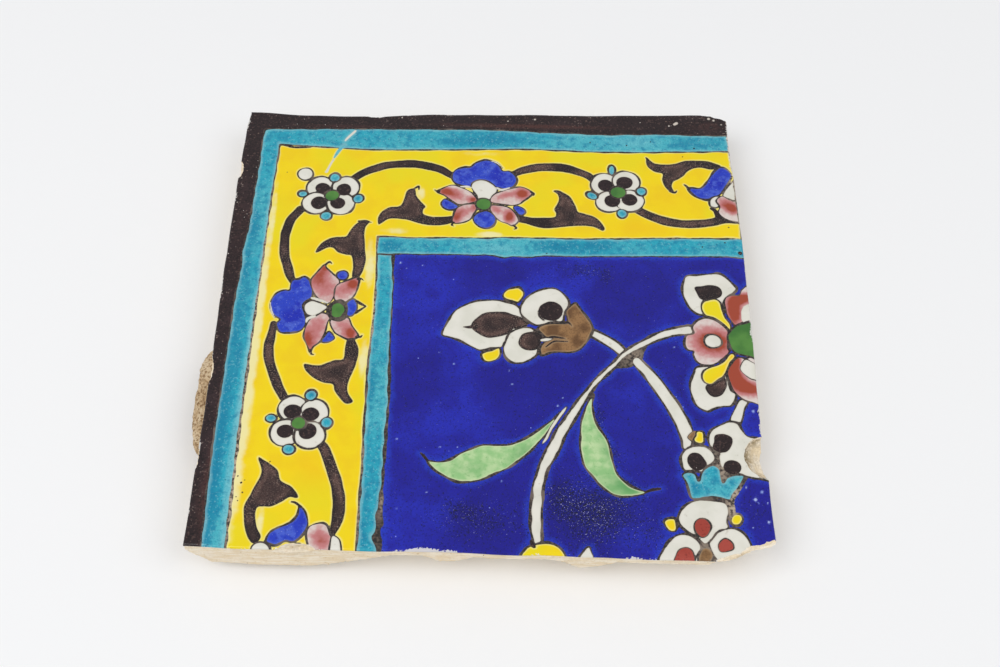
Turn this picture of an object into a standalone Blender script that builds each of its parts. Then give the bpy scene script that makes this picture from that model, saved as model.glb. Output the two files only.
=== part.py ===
"""A square wall tile of fired clay with a painted glaze on its face, cut by hand and chipped with age.

The tile lies on its back. +Z points out of the glazed face, +X runs along the face to the
right and +Y up the face. The origin is the centre of the flat back. Lengths are in metres.
"""

import math

import bmesh
import bpy
from mathutils import Matrix, Vector, noise

# The slab
FACE_SIDE = 0.200
THICKNESS = 0.018
ARRIS_DEPTH = 0.0042        # straight band of clay under the glaze, before the side is cut back
UNDERCUT = 0.0105           # how far the back is cut in from the face, on every side
RIM_ROUND = 0.0006          # the glaze rolls over the edge of the face by this much
STATIONS_PER_SIDE = 56      # points that each side of an outline is drawn with

# The face was cut by eye. For each side: share along the side, from -1 to 1 in +X or +Y,
# and how far the edge lies outside the true square there
EDGE_BENDS = {
    "front": (
        (-1.0, -0.0009), (-0.77, -0.0002), (-0.2, -0.0002), (0.2, 0.0005), (0.7, 0.0015), (1.0, 0.0015),
    ),
    "right": (
        (-1.0, 0.0010), (-0.7, 0.0008), (-0.5, 0.0001), (-0.1, 0.0008), (0.3, 0.0010), (1.0, -0.0002),
    ),
    "back": (
        (-1.0, -0.0014), (-0.75, -0.0027), (-0.5, -0.0024), (-0.2, -0.0007), (0.3, 0.0004), (1.0, 0.0020),
    ),
    "left": (
        (-1.0, 0.0002), (-0.5, -0.0003), (0.2, 0.0), (0.6, 0.0), (0.9, -0.0007), (1.0, -0.0016),
    ),
}
EDGE_WAVE = 0.00025         # and it wavers by this much between those places
EDGE_WAVELENGTH = 0.011
CLAY_ROUGHNESS = 0.0007     # waviness of the cut-back clay
CLAY_WAVELENGTH = 0.008

# Stretches of the sides where more of the clay was left straight:
# (side, middle of the stretch, its length, length that it fades over, depth left straight)
THICK_STRETCHES = (
    ("front", -0.0810, 0.038, 0.036, 0.0134),
    ("front", -0.0110, 0.003, 0.009, 0.0082),
    ("front", 0.0370, 0.002, 0.011, 0.0094),
    ("back", 0.0300, 0.050, 0.020, 0.0080),
)

# Chips out of the face's edge:
# (side, middle, length, reach into the face, depth, turn in degrees)
CHIPS = {
    "right_flake": ("right", -0.0615, 0.0175, 0.0076, 0.0050, -14),
    "front_chip": ("front", -0.0620, 0.0130, 0.0022, 0.0030, 0),
    "left_chip_high": ("left", 0.0730, 0.0100, 0.0009, 0.0018, 0),
    "left_chip_middle": ("left", -0.0290, 0.0110, 0.0011, 0.0020, 0),
    "left_chip_low": ("left", -0.0655, 0.0090, 0.0007, 0.0016, 0),
    "back_chip": ("back", -0.0465, 0.0090, 0.0008, 0.0014, 0),
}
CHIP_OVERHANG = 0.25        # share of the reach by which a chip's centre lies outside the edge
CHIP_ROUGHNESS = 0.09       # share of a chip's own size

# Corners of the face that are broken off:
# (signs of x and y, run along the front or back, run along the right, depth)
BREAKS = {
    "front_right_break": ((1, -1), 0.0215, 0.0080, 0.0300),
    "back_right_break": ((1, 1), 0.0105, 0.0030, 0.0060),
}
BREAK_ROUGHNESS = 0.0008
BREAK_GRAIN = 0.0045        # size of the lumps on a broken face
BREAK_CUTS = 14

# Old bedding mortar that still sticks to the left side
MORTAR_MIDDLE_Y = -0.0385
MORTAR_LENGTH = 0.045
MORTAR_PROUD = 0.0054       # how far it stands out from the edge of the face
MORTAR_HEIGHT = 0.0120
MORTAR_TOP_BELOW_FACE = 0.0014
MORTAR_ROOT = 0.0095        # how far it reaches in, to fill the undercut
MORTAR_BLUNTNESS = 0.6      # 1 is a pointed oval, towards 0 is a square-ended block
MORTAR_ROUGHNESS = 0.0006

HALF = FACE_SIDE / 2
SIDES = {"front": (0, -1), "right": (1, 0), "back": (0, 1), "left": (-1, 0)}


def clear_scene():
    for obj in list(bpy.data.objects):
        bpy.data.objects.remove(obj, do_unlink=True)


def new_collection(name):
    group = bpy.data.collections.new(name)
    bpy.context.scene.collection.children.link(group)
    return group


def new_material(name, colour, roughness):
    material = bpy.data.materials.new(name)
    material.use_nodes = True
    shader = material.node_tree.nodes["Principled BSDF"]
    shader.inputs["Base Color"].default_value = (*colour, 1)
    shader.inputs["Roughness"].default_value = roughness
    shader.inputs["Metallic"].default_value = 0
    return material


def new_object(name, bm, group, material):
    bmesh.ops.recalc_face_normals(bm, faces=bm.faces)
    mesh = bpy.data.meshes.new(name)
    bm.to_mesh(mesh)
    bm.free()
    mesh.materials.append(material)
    obj = bpy.data.objects.new(name, mesh)
    group.objects.link(obj)
    return obj


def ease(t):
    """0 up to t = 0 and 1 from t = 1, with a soft start and end."""
    t = min(max(t, 0), 1)
    return t * t * (3 - 2 * t)


def edge_offset(side, run):
    """How far the face's edge lies outside the true square, at a place along a side."""
    share = min(max(run / HALF, -1), 1)
    bends = EDGE_BENDS[side]
    offset = bends[-1][1]
    for (start, low), (end, high) in zip(bends, bends[1:]):
        if share < end:
            offset = low + (high - low) * ease((share - start) / (end - start))
            break
    nx, ny = SIDES[side]
    return offset + EDGE_WAVE * noise.noise(Vector((run / EDGE_WAVELENGTH, nx * 7, ny * 9 + 0.4)))


def straight_depth(side, run):
    """Depth of clay under the face that is left straight, at a place along a side."""
    depth = ARRIS_DEPTH
    for place, middle, length, fade, left_straight in THICK_STRETCHES:
        if place == side:
            beyond = abs(run - middle) - length / 2
            depth = max(depth, ARRIS_DEPTH + (left_straight - ARRIS_DEPTH) * ease(1 - beyond / fade))
    return min(depth, THICKNESS * 0.8)


def outward(side, run, depth):
    """How far the slab's side lies outside the true square, at a depth under the face."""
    edge = edge_offset(side, run)
    straight = straight_depth(side, run)
    if depth == 0:
        return edge - RIM_ROUND
    cut_share = ease_in_cut((depth - straight) / (THICKNESS - straight))
    nx, ny = SIDES[side]
    place = Vector((run, nx * HALF, depth * 2 + ny * HALF)) / CLAY_WAVELENGTH
    bump = CLAY_ROUGHNESS * noise.noise(place) if 0 < cut_share < 1 else 0
    return edge - UNDERCUT * cut_share + bump


def ease_in_cut(t):
    """Share of the undercut that is reached at a share of the way down it."""
    return min(max(t, 0), 1) ** 0.9


def slab_point(side, share, level):
    """A point of one of the outlines that the slab is lofted through, from its back to its face."""
    nx, ny = SIDES[side]
    x, y = nx - ny * share, ny + nx * share
    run = HALF * (x if nx == 0 else y)
    straight = straight_depth(side, run)
    depth = {
        "face": 0,
        "rim": RIM_ROUND,
        "arris": straight * 0.5,
        "arris_foot": straight,
        "cut_high": straight + (THICKNESS - straight) * 0.25,
        "cut_low": straight + (THICKNESS - straight) * 0.60,
        "heel": straight + (THICKNESS - straight) * 0.88,
        "back": THICKNESS,
    }[level]
    return Vector((
        x * (HALF + outward("right" if x > 0 else "left", y * HALF, depth)),
        y * (HALF + outward("back" if y > 0 else "front", x * HALF, depth)),
        THICKNESS - depth,
    ))


def slab(group, material):
    """The slab: the outline of its back, drawn out level by level up to the face."""
    levels = ("back", "heel", "cut_low", "cut_high", "arris_foot", "arris", "rim", "face")
    stations = [
        (side, -1 + 2 * i / STATIONS_PER_SIDE)
        for side in SIDES
        for i in range(STATIONS_PER_SIDE)
    ]
    bm = bmesh.new()
    bmesh.ops.create_circle(bm, cap_ends=True, radius=HALF, segments=len(stations))
    ring = sorted(bm.verts, key=lambda v: math.atan2(v.co.y, v.co.x))
    for level in levels:
        if level != levels[0]:
            edges = [bm.edges.get((ring[i - 1], ring[i])) for i in range(len(ring))]
            raised = bmesh.ops.extrude_edge_only(bm, edges=edges)["geom"]
            lifted = {v for v in raised if isinstance(v, bmesh.types.BMVert)}
            ring = [
                next(e.other_vert(v) for e in v.link_edges if e.other_vert(v) in lifted)
                for v in ring
            ]
        for vertex, (side, share) in zip(ring, stations):
            vertex.co = slab_point(side, share, level)
    bmesh.ops.contextual_create(bm, geom=ring)
    return new_object("tile", bm, group, material)


def rough_ball(radii, roughness, seed):
    """An ellipsoid with a broken surface, as broken clay has."""
    bm = bmesh.new()
    bmesh.ops.create_icosphere(bm, subdivisions=3, radius=1)
    for vertex in bm.verts:
        swell = 1 + roughness * noise.noise(vertex.co * 2.3 + Vector((seed, 0, seed)))
        vertex.co = Vector(c * r * swell for c, r in zip(vertex.co, radii))
    return bm


def join(obj, tool, operation):
    tool.hide_render = True
    tool.display_type = "WIRE"
    boolean = obj.modifiers.new(tool.name, "BOOLEAN")
    boolean.operation = operation
    boolean.object = tool


def edge_chip(name, seed, group, material):
    """A scoop out of the face's edge, where a flake of glaze and clay has come away."""
    side, middle, length, reach, depth, turn = CHIPS[name]
    nx, ny = SIDES[side]
    outside = reach * CHIP_OVERHANG
    across = reach + outside
    half_length = length / 2 / math.sqrt(1 - (outside / across) ** 2)
    scoop = new_object(name, rough_ball((half_length, across, depth), CHIP_ROUGHNESS, seed), group, material)
    edge = Vector((nx, ny)) * (HALF + edge_offset(side, middle) + outside)
    scoop.location = (edge.x + abs(ny) * middle, edge.y + abs(nx) * middle, THICKNESS)
    scoop.rotation_euler.z = math.atan2(ny, nx) + math.pi / 2 + math.radians(turn)
    return scoop


def corner_break(name, seed, group, material):
    """A block whose rough under-face takes a slanting piece off a corner."""
    (sx, sy), run_x, run_y, depth = BREAKS[name]
    x_side = "right" if sx > 0 else "left"
    y_side = "back" if sy > 0 else "front"
    corner_x = HALF + edge_offset(x_side, sy * HALF)
    corner_y = HALF + edge_offset(y_side, sx * HALF)
    along_x = Vector((sx * (corner_x - run_x), sy * corner_y, THICKNESS))
    along_y = Vector((sx * corner_x, sy * (corner_y - run_y), THICKNESS))
    foot = Vector((sx * corner_x, sy * corner_y, THICKNESS - depth))
    away = (along_y - along_x).cross(foot - along_x).normalized()
    if away.dot(Vector((sx, sy, 1))) < 0:
        away = -away
    size = 3 * max(run_x, run_y, depth)
    bm = bmesh.new()
    bmesh.ops.create_cube(bm, size=size)
    bmesh.ops.subdivide_edges(bm, edges=bm.edges, cuts=BREAK_CUTS, use_grid_fill=True)
    for vertex in bm.verts:
        vertex.co.z += BREAK_ROUGHNESS * noise.noise(vertex.co / BREAK_GRAIN + Vector((seed, seed, 0)))
    block = new_object(name, bm, group, material)
    turn = away.to_track_quat("Z", "Y").to_matrix().to_4x4()
    middle = (along_x + along_y + foot) / 3 + away * size / 2
    block.matrix_world = Matrix.Translation(middle) @ turn
    return block


def mortar(group, material):
    """A long lump of sandy mortar, rooted in the left side and clear of the back."""
    radii = Vector(((MORTAR_PROUD + MORTAR_ROOT) / 2, MORTAR_LENGTH / 2, MORTAR_HEIGHT / 2))
    bm = rough_ball((1, 1, 1), 0, 0)
    for vertex in bm.verts:
        blunt = [math.copysign(abs(c) ** MORTAR_BLUNTNESS, c) for c in vertex.co]
        place = Vector(c * r for c, r in zip(blunt, radii))
        bump = noise.noise(place / 0.0045) - 0.5
        vertex.co = place + vertex.co * bump * MORTAR_ROUGHNESS
    lump = new_object("mortar_lump", bm, group, material)
    edge = -(HALF + edge_offset("left", MORTAR_MIDDLE_Y))
    top = THICKNESS - MORTAR_TOP_BELOW_FACE
    lump.location = (edge - MORTAR_PROUD + radii.x, MORTAR_MIDDLE_Y, top - radii.z)
    return lump


def main():
    clear_scene()
    parts = new_collection("wall_tile")
    cutters = new_collection("cutters")
    clay = new_material("fired_clay", (0.74, 0.64, 0.49), 0.9)
    glaze = new_material("cobalt_glaze", (0.03, 0.04, 0.42), 0.2)

    tile = slab(parts, clay)
    tile.data.materials.append(glaze)
    face = max(tile.data.polygons, key=lambda p: p.center.z)
    face.material_index = 1

    join(tile, mortar(cutters, clay), "UNION")
    for seed, name in enumerate(CHIPS):
        join(tile, edge_chip(name, seed * 1.7, cutters, clay), "DIFFERENCE")
    for seed, name in enumerate(BREAKS):
        join(tile, corner_break(name, seed * 3.1, cutters, clay), "DIFFERENCE")


main()
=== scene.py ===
import math

import bpy
import numpy as np
from mathutils import Euler, Matrix, Vector, noise


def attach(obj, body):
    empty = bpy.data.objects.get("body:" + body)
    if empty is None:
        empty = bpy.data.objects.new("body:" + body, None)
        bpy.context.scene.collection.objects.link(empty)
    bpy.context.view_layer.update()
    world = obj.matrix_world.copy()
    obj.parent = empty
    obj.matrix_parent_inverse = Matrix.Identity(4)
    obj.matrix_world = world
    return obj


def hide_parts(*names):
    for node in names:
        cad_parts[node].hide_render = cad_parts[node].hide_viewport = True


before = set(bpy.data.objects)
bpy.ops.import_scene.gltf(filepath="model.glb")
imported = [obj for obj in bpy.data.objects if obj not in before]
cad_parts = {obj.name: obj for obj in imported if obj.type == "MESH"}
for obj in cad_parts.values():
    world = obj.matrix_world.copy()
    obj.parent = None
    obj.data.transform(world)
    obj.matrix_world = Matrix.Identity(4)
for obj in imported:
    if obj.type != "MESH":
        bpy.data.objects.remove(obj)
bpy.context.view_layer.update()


# Clay slab
# The body of the tile: a slab of buff clay, cut by hand and fired, with its sides cut back under
# the face so that neighbouring tiles touch only at the front. Its back and sides are left bare,
# porous and dusty.

MM = 0.001
HALF = 100.0                # half the side of the face; all lengths in this script are in mm
THICKNESS = 18.0
ARRIS_DEPTH = 4.2           # how far down the sides stay straight
UNDERCUT = 10.5
GLAZE_FOOT = 17.2           # height at which the clay ends and the glaze begins
GLAZE_LAP = 0.05            # how far the clay runs up inside the glaze
PER_SIDE = 290
LEVELS = 26
SIDES = {"front": (0, -1), "right": (1, 0), "back": (0, 1), "left": (-1, 0)}

# how far each edge strays outwards, at shares of the way along it
EDGE_BENDS = {
    "front": ((-1, -0.9), (-0.77, -0.2), (-0.2, -0.2), (0.2, 0.5), (0.7, 1.5), (1, 1.5)),
    "right": ((-1, 1.0), (-0.7, 0.8), (-0.5, 0.1), (-0.1, 0.8), (0.3, 1.0), (1, -0.2)),
    "back": ((-1, -1.4), (-0.75, -2.7), (-0.5, -2.4), (-0.2, -0.7), (0.3, 0.4), (1, 2.0)),
    "left": ((-1, 0.2), (-0.5, -0.3), (0.2, 0), (0.6, 0), (0.9, -0.7), (1, -1.6)),
}

# stretches left straight further down: side, middle, length, run-out at the ends, straight depth
THICK_STRETCHES = (
    ("front", -81, 38, 36, 13.4),
    ("front", -11, 3, 9, 8.2),
    ("front", 37, 2, 11, 9.4),
    ("back", 30, 50, 20, 8.0),
)


def ease(t):
    """A soft step from 0 to 1."""
    t = min(max(t, 0), 1)
    return t * t * (3 - 2 * t)


def edge_offset(side, run):
    """How far the face's edge lies outside the true square, at a place along a side."""
    share = min(max(run / HALF, -1), 1)
    bends = EDGE_BENDS[side]
    offset = bends[-1][1]
    for (start, low), (end, high) in zip(bends, bends[1:]):
        if share < end:
            offset = low + (high - low) * ease((share - start) / (end - start))
            break
    nx, ny = SIDES[side]
    return offset + 0.25 * noise.noise(Vector((run / 11, nx * 7, ny * 9 + 0.4)))


def clay_offset(side, run, depth):
    """The same for the bare side, at a depth under the face: straight, then cut back."""
    straight = ARRIS_DEPTH
    for place, middle, length, fade, left_straight in THICK_STRETCHES:
        if place == side:
            beyond = abs(run - middle) - length / 2
            deeper = (left_straight - ARRIS_DEPTH) * ease(1 - beyond / fade)
            straight = max(straight, ARRIS_DEPTH + deeper)
    cut_share = min(max((depth - straight) / (THICKNESS - straight), 0), 1) ** 0.9
    nx, ny = SIDES[side]
    place = Vector((run, nx * HALF, depth * 2 + ny * HALF))
    grain = 0.16 * noise.noise(place * 0.9) + 0.10 * noise.noise(place * 2.3) - 0.20
    lumps = 0.7 * noise.noise(place / 8) if 0 < cut_share < 1 else 0
    return edge_offset(side, run) - UNDERCUT * cut_share + lumps + grain


def slab_point(side, share, depth):
    """A point of the slab's sides: a share of the way along one of them, at a depth."""
    nx, ny = SIDES[side]
    u, v = nx - ny * share, ny + nx * share
    return (
        u * (HALF + clay_offset("right" if u > 0 else "left", v * HALF, depth)) * MM,
        v * (HALF + clay_offset("back" if v > 0 else "front", u * HALF, depth)) * MM,
        (THICKNESS - depth) * MM,
    )


def place_vertices(obj, points):
    """Moves all vertices of a mesh to these points."""
    obj.data.vertices.foreach_set("co", np.asarray(points, np.float32).ravel())
    obj.data.update()


def choose(obj):
    """Selects one object and nothing else, and makes it the active one."""
    bpy.ops.object.select_all(action="DESELECT")
    bpy.context.view_layer.objects.active = obj
    obj.select_set(True)


def edit(obj):
    """Opens one mesh for editing."""
    choose(obj)
    bpy.ops.object.mode_set(mode="EDIT")


bpy.ops.mesh.primitive_grid_add(x_subdivisions=4 * PER_SIDE, y_subdivisions=LEVELS, size=1)
clay_body = bpy.context.object
clay_body.name = "clay_body"
depths = [THICKNESS - (GLAZE_FOOT + GLAZE_LAP) * i / LEVELS for i in range(LEVELS + 1)]
stations = [(side, -1 + 2 * i / PER_SIDE) for side in SIDES for i in range(PER_SIDE)]
stations.append(stations[0])
ring_points = [slab_point(side, share, depth) for depth in depths for side, share in stations]
place_vertices(clay_body, ring_points)
edit(clay_body)
bpy.ops.mesh.select_all(action="SELECT")
bpy.ops.mesh.remove_doubles(threshold=1e-6)
bpy.ops.mesh.select_all(action="DESELECT")
bpy.ops.mesh.select_mode(type="EDGE")
bpy.ops.mesh.select_non_manifold()
bpy.ops.mesh.fill_holes(sides=0)
bpy.ops.mesh.select_all(action="SELECT")
bpy.ops.mesh.normals_make_consistent(inside=False)
bpy.ops.object.mode_set(mode="OBJECT")


def linear(code):
    """A paint colour, from its usual six-digit code to the values light adds up in."""
    parts = [int(code[i:i + 2], 16) / 255 for i in (0, 2, 4)]
    return (*(c / 12.92 if c <= 0.04045 else ((c + 0.055) / 1.055) ** 2.4 for c in parts), 1)


class Shader:
    """Adds nodes to a new material, wired as they are made."""

    def __init__(self, name):
        self.material = bpy.data.materials.new(name)
        self.material.use_nodes = True
        self.tree = self.material.node_tree
        self.surface = self.tree.nodes["Principled BSDF"]
        self.place = self.node("ShaderNodeTexCoord").outputs["Object"]

    def set(self, node, **inputs):
        """Fills a node's inputs, given by name, or by number as i0, i1 and so on."""
        for key, value in inputs.items():
            by_number = key[0] == "i" and key[1:].isdigit()
            socket = node.inputs[int(key[1:]) if by_number else key.replace("_", " ")]
            if isinstance(value, bpy.types.NodeSocket):
                self.tree.links.new(value, socket)
            else:
                socket.default_value = value
        return node

    def node(self, kind, settings=(), **inputs):
        """A new node of this kind, with its settings and inputs filled."""
        made = self.tree.nodes.new(kind)
        for key, value in dict(settings).items():
            setattr(made, key, value)
        return self.set(made, **inputs)

    def sum(self, operation, *values):
        """One step of arithmetic on values or sockets."""
        inputs = {f"i{n}": value for n, value in enumerate(values)}
        return self.node("ShaderNodeMath", {"operation": operation}, **inputs).outputs[0]

    def both(self, a, b):
        """Where two masks meet."""
        return self.sum("MULTIPLY", a, b)

    def steps(self, value, low, high, bottom=0.0, top=1.0):
        """Eases from bottom to top as the value goes from low to high."""
        made = self.node(
            "ShaderNodeMapRange", {"interpolation_type": "SMOOTHSTEP"}, Value=value,
            From_Min=low, From_Max=high, To_Min=bottom, To_Max=top,
        )
        return made.outputs[0]

    def clouds(self, size, detail, low, high, most=1.0):
        """A mask of cloudy patches of this size in mm."""
        return self.steps(self.noise(size, detail), low, high, 0.0, most)

    def mix(self, mask, under, over):
        """One colour, with another laid over it where the mask says."""
        return self.node("ShaderNodeMix", {"data_type": "RGBA"}, i0=mask, i6=under, i7=over).outputs[2]

    def coats(self, base, *layers):
        """A paint, with each further layer laid over it where its mask says."""
        paint = linear(base)
        for mask, code in layers:
            paint = self.mix(mask, paint, linear(code))
        return paint

    def noise(self, size, detail=2.0, stretch=(1, 1, 1)):
        """Cloudy noise around 0.5, with lumps of this size in mm."""
        place = self.node("ShaderNodeVectorMath", {"operation": "DIVIDE"}, i0=self.place, i1=stretch)
        scale = 1 / (size * MM)
        made = self.node("ShaderNodeTexNoise", Vector=place.outputs[0], Scale=scale, Detail=detail)
        return made.outputs[0]

    def dots(self, spacing, radius, seed=0.0):
        """1 inside small round dots scattered at this spacing, 0 between them."""
        moved = self.node("ShaderNodeVectorMath", {"operation": "ADD"}, i0=self.place, i1=(seed, seed, 0))
        cells = self.node("ShaderNodeTexVoronoi", Vector=moved.outputs[0], Scale=1 / (spacing * MM))
        middle, outside = radius * 0.6 / spacing, radius * 1.2 / spacing
        return self.steps(cells.outputs["Distance"], middle, outside, 1.0, 0.0)

    def attribute(self, name):
        """A value kept at every point of the mesh."""
        return self.node("ShaderNodeAttribute", {"attribute_name": name}).outputs["Fac"]

    def bump(self, height, distance, normal=None):
        """A rough surface, from a height and how many mm it stands for."""
        made = self.node("ShaderNodeBump", Height=height, Distance=distance * MM)
        if normal is not None:
            self.set(made, Normal=normal)
        return made.outputs[0]


def clay_shader(name, pale, dark, stain, sand, smooth):
    """Bare clay or mortar in three shades, with grains of sand at this spacing, smooth or pitted."""
    clay = Shader(name)
    rubbed = clay.both(clay.attribute("dust"), clay.steps(clay.noise(0.9, 3), 0.35, 0.52, 0.35, 1.0))
    colour = clay.coats(
        pale,
        (clay.steps(clay.noise(1.0, 4, (9, 9, 1)), 0.42, 0.60), dark),
        (clay.clouds(5, 4, 0.48, 0.70), dark),
        (clay.clouds(0.9, 3, smooth, smooth + 0.18), stain),
        (clay.dots(sand, 0.24), "8A6B48"),
        (rubbed, "92805F"),
    )
    rough = clay.bump(clay.noise(0.45, 4), 0.35)
    rough = clay.bump(clay.noise(1.8, 4), 0.5, rough)
    clay.set(clay.surface, Base_Color=colour, Roughness=0.92, Normal=rough)
    return clay.material


fired_clay = clay_shader("fired_clay", "FFF2DC", "F4E0BE", "DCBE90", 3.4, 0.60)
clay_body.data.materials.append(fired_clay)


# Painted pattern
# The glazer drew every outline with a greasy dark line, then flooded each cell between the
# lines with a pool of coloured glaze. Here each colour keeps, for every point of the face, how
# far that point lies inside its nearest pool.

ROLL = (0, 0.12, 0.35)      # places of the outermost grid lines, inwards from the edge of the face
EVEN_SHARE = 1 - 0.0075     # the share of the face whose grid lines are evenly spaced
EVEN_LINES = 397
BACK_LIMIT = 101.98         # the highest bump of the back edge is cut off here
INNER = np.linspace(-EVEN_SHARE, EVEN_SHARE, EVEN_LINES)
LINES = np.concatenate([-1 + np.array(ROLL) / HALF, INNER, 1 - np.array(ROLL[::-1]) / HALF])
V, U = np.meshgrid(LINES, LINES, indexing="ij")
runs = LINES * HALF
offset_x = {side: np.array([edge_offset(side, run) for run in runs]) for side in ("left", "right")}
offset_y = {side: np.array([edge_offset(side, run) for run in runs]) for side in ("front", "back")}
FACE_X = U * (HALF + np.where(U < 0, offset_x["left"][:, None], offset_x["right"][:, None]))
FACE_Y = V * (HALF + np.where(V < 0, offset_y["front"][None, :], offset_y["back"][None, :]))
FACE_Y = np.minimum(FACE_Y, BACK_LIMIT)

FAR = 9.0                   # the furthest that a pool's reach is kept
COLOURS = (
    "black", "turquoise", "yellow", "cobalt", "white", "pink",
    "blue", "green", "leaf", "vine", "red", "umber",
)
pools = {colour: np.full(FACE_X.shape, -FAR) for colour in COLOURS}
# below 0 the tone also holds pale chips, burst bubbles and one painted highlight on the cobalt
tone = np.zeros(FACE_X.shape)     # how deep a colour is laid, below 0 where it's thin and pale
bare = np.zeros(FACE_X.shape)     # how much of the dark line has worn off to the clay


def wobble(amount, seed):
    """A slow waver over the face, as a hand-held brush leaves."""
    a = np.sin(FACE_X * 0.61 + 1.9 * np.sin(FACE_Y * 0.23 + seed) + seed)
    b = np.sin(FACE_Y * 0.74 + 1.7 * np.sin(FACE_X * 0.31 - seed) + 2 * seed)
    c = np.sin(FACE_X * 1.9 + FACE_Y * 1.3 + 3 * seed) * 0.4
    return amount * (a + b + c) / 2


DRAWN_X = FACE_X + wobble(0.14, 0.7)
DRAWN_Y = FACE_Y + wobble(0.14, 2.9)
PEN = 0.76 + 0.32 * wobble(1, 8.3)     # how heavily the line is drawn


def near(points, margin):
    """The part of the grid that a shape can touch."""
    x, y = np.asarray(points, float)[:, :2].T
    rows = np.where((LINES * HALF > y.min() - margin) & (LINES * HALF < y.max() + margin))[0]
    columns = np.where((LINES * HALF > x.min() - margin) & (LINES * HALF < x.max() + margin))[0]
    return np.s_[rows[0]:rows[-1] + 1, columns[0]:columns[-1] + 1]


def lay(colour, inside, part=np.s_[:, :], line=0.9):
    """Lays one pool and the bare line round it; what was under it is gone."""
    line = line * PEN[part]
    for other in COLOURS:
        pools[other][part] = np.minimum(pools[other][part], -inside - line / 2)
    pools[colour][part] = np.maximum(pools[colour][part], inside - line / 2)


def curve(points, closed, steps=7):
    """A smooth curve through given points."""
    p = np.asarray(points, float)
    if closed:
        p = np.vstack([p[-1], p, p[0], p[1]])
    else:
        p = np.vstack([2 * p[0] - p[1], p, 2 * p[-1] - p[-2]])
    t = (np.arange(steps) / steps)[:, None]
    spans = []
    for a, b, c, d in zip(p, p[1:], p[2:], p[3:]):
        bend = 2 * a - 5 * b + 4 * c - d
        twist = 3 * b - a - 3 * c + d
        spans.append(0.5 * (2 * b + (c - a) * t + bend * t ** 2 + twist * t ** 3))
    return np.vstack(spans + [p[-2:-1]])


def blob_depth(points, part, steps=7):
    """How far each point lies inside a closed curve."""
    x, y = DRAWN_X[part], DRAWN_Y[part]
    outline = curve(points, True, steps)
    nearest = np.full(x.shape, 1e6)
    crossings = np.zeros(x.shape, bool)
    for (x0, y0), (x1, y1) in zip(outline, outline[1:]):
        dx, dy = x1 - x0, y1 - y0
        length = dx * dx + dy * dy
        if length < 1e-9:
            continue
        along = np.clip(((x - x0) * dx + (y - y0) * dy) / length, 0, 1)
        nearest = np.minimum(nearest, (x - x0 - along * dx) ** 2 + (y - y0 - along * dy) ** 2)
        if dy:
            crossings ^= ((y0 > y) != (y1 > y)) & (x < (y - y0) / dy * dx + x0)
    return np.where(crossings, 1, -1) * np.sqrt(nearest)


def blob(colour, points, line=0.9):
    """A pool of one colour inside a hand-drawn outline."""
    part = near(points, 6)
    lay(colour, blob_depth(points, part), part, line)


def disc(colour, x, y, across, up=None, turn=0, line=0.9):
    """A round or oval dab, given by its half-width and half-height."""
    up = up or across
    c, s = math.cos(math.radians(turn)), math.sin(math.radians(turn))
    angles = [math.tau * i / 10 for i in range(10)]
    ring = [(across * math.cos(a), up * math.sin(a)) for a in angles]
    blob(colour, [(x + u * c - v * s, y + u * s + v * c) for u, v in ring], line)


def stroke(colour, points, line=0.9):
    """A brush stroke through (x, y, width)."""
    part = near(points, 7)
    x, y = DRAWN_X[part], DRAWN_Y[part]
    inside = np.full(x.shape, -1e3)
    path = curve(points, False, 6)
    for (x0, y0, w0), (x1, y1, w1) in zip(path, path[1:]):
        dx, dy = x1 - x0, y1 - y0
        along = np.clip(((x - x0) * dx + (y - y0) * dy) / max(dx * dx + dy * dy, 1e-9), 0, 1)
        away = np.hypot(x - x0 - along * dx, y - y0 - along * dy)
        inside = np.maximum(inside, (w0 + (w1 - w0) * along) / 2 - away)
    lay(colour, inside, part, line)


def spot(field, x, y, across, up, amount, turn=0):
    """A soft patch, added to one of the fields."""
    c, s = math.cos(math.radians(turn)), math.sin(math.radians(turn))
    dx, dy = FACE_X - x, FACE_Y - y
    q = ((dx * c + dy * s) / across) ** 2 + ((dy * c - dx * s) / up) ** 2
    field += amount * np.exp(-q)


# Bands of the border
# Straight bands of black, turquoise and yellow glaze that turn the corner of the panel, with a
# cobalt field inside them; ruled by hand, so their edges wander.

def inside_corner(top, left, rounding):
    """How far each point lies inside a line that runs along the top and turns down the left."""
    below = np.interp(DRAWN_X, *np.transpose(top)) - DRAWN_Y
    right = DRAWN_X - np.interp(DRAWN_Y, *np.transpose(left))
    return -np.logaddexp(-below / rounding, -right / rounding) * rounding


def along_left(points):
    """Values that change down the left leg of the border, from (y, value)."""
    return np.interp(FACE_Y, *np.transpose(points))


black_edge = inside_corner(
    [(-92, 89.2), (-60, 90.1), (-30, 90.7), (0, 91.3), (10, 90.9), (30, 90.2), (50, 89.7),
     (70, 90.6), (98, 90.3)],
    [(-98, -94.3), (-60, -95), (0, -94.5), (18, -93.8), (26, -94.1), (36, -93), (60, -92.4), (85, -92)],
    rounding=0.5,
)
outer_blue_edge = inside_corner(
    [(-82, 80.8), (-70, 80), (-50, 79), (-40, 79), (-10, 79.9), (10, 80.7), (22, 80.8),
     (40, 80.1), (60, 80.2), (80, 81), (98, 81.7)],
    [(-98, -85.8), (-50, -86.3), (0, -86), (50, -85.5), (80, -84.8)],
    rounding=0.35,
)
yellow_edge = inside_corner(
    [(-42, 34.3), (-30, 33.8), (-10, 34.3), (2, 34.4), (8, 34.9), (40, 34.9), (60, 35.6),
     (75, 36.1), (98, 36.4)],
    [(-98, -41.7), (-70, -41.7), (-50, -42), (-30, -42.3), (-12, -41.8), (0, -41.3), (12, -41.5),
     (30, -42.1)],
    rounding=0.2,
)
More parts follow.
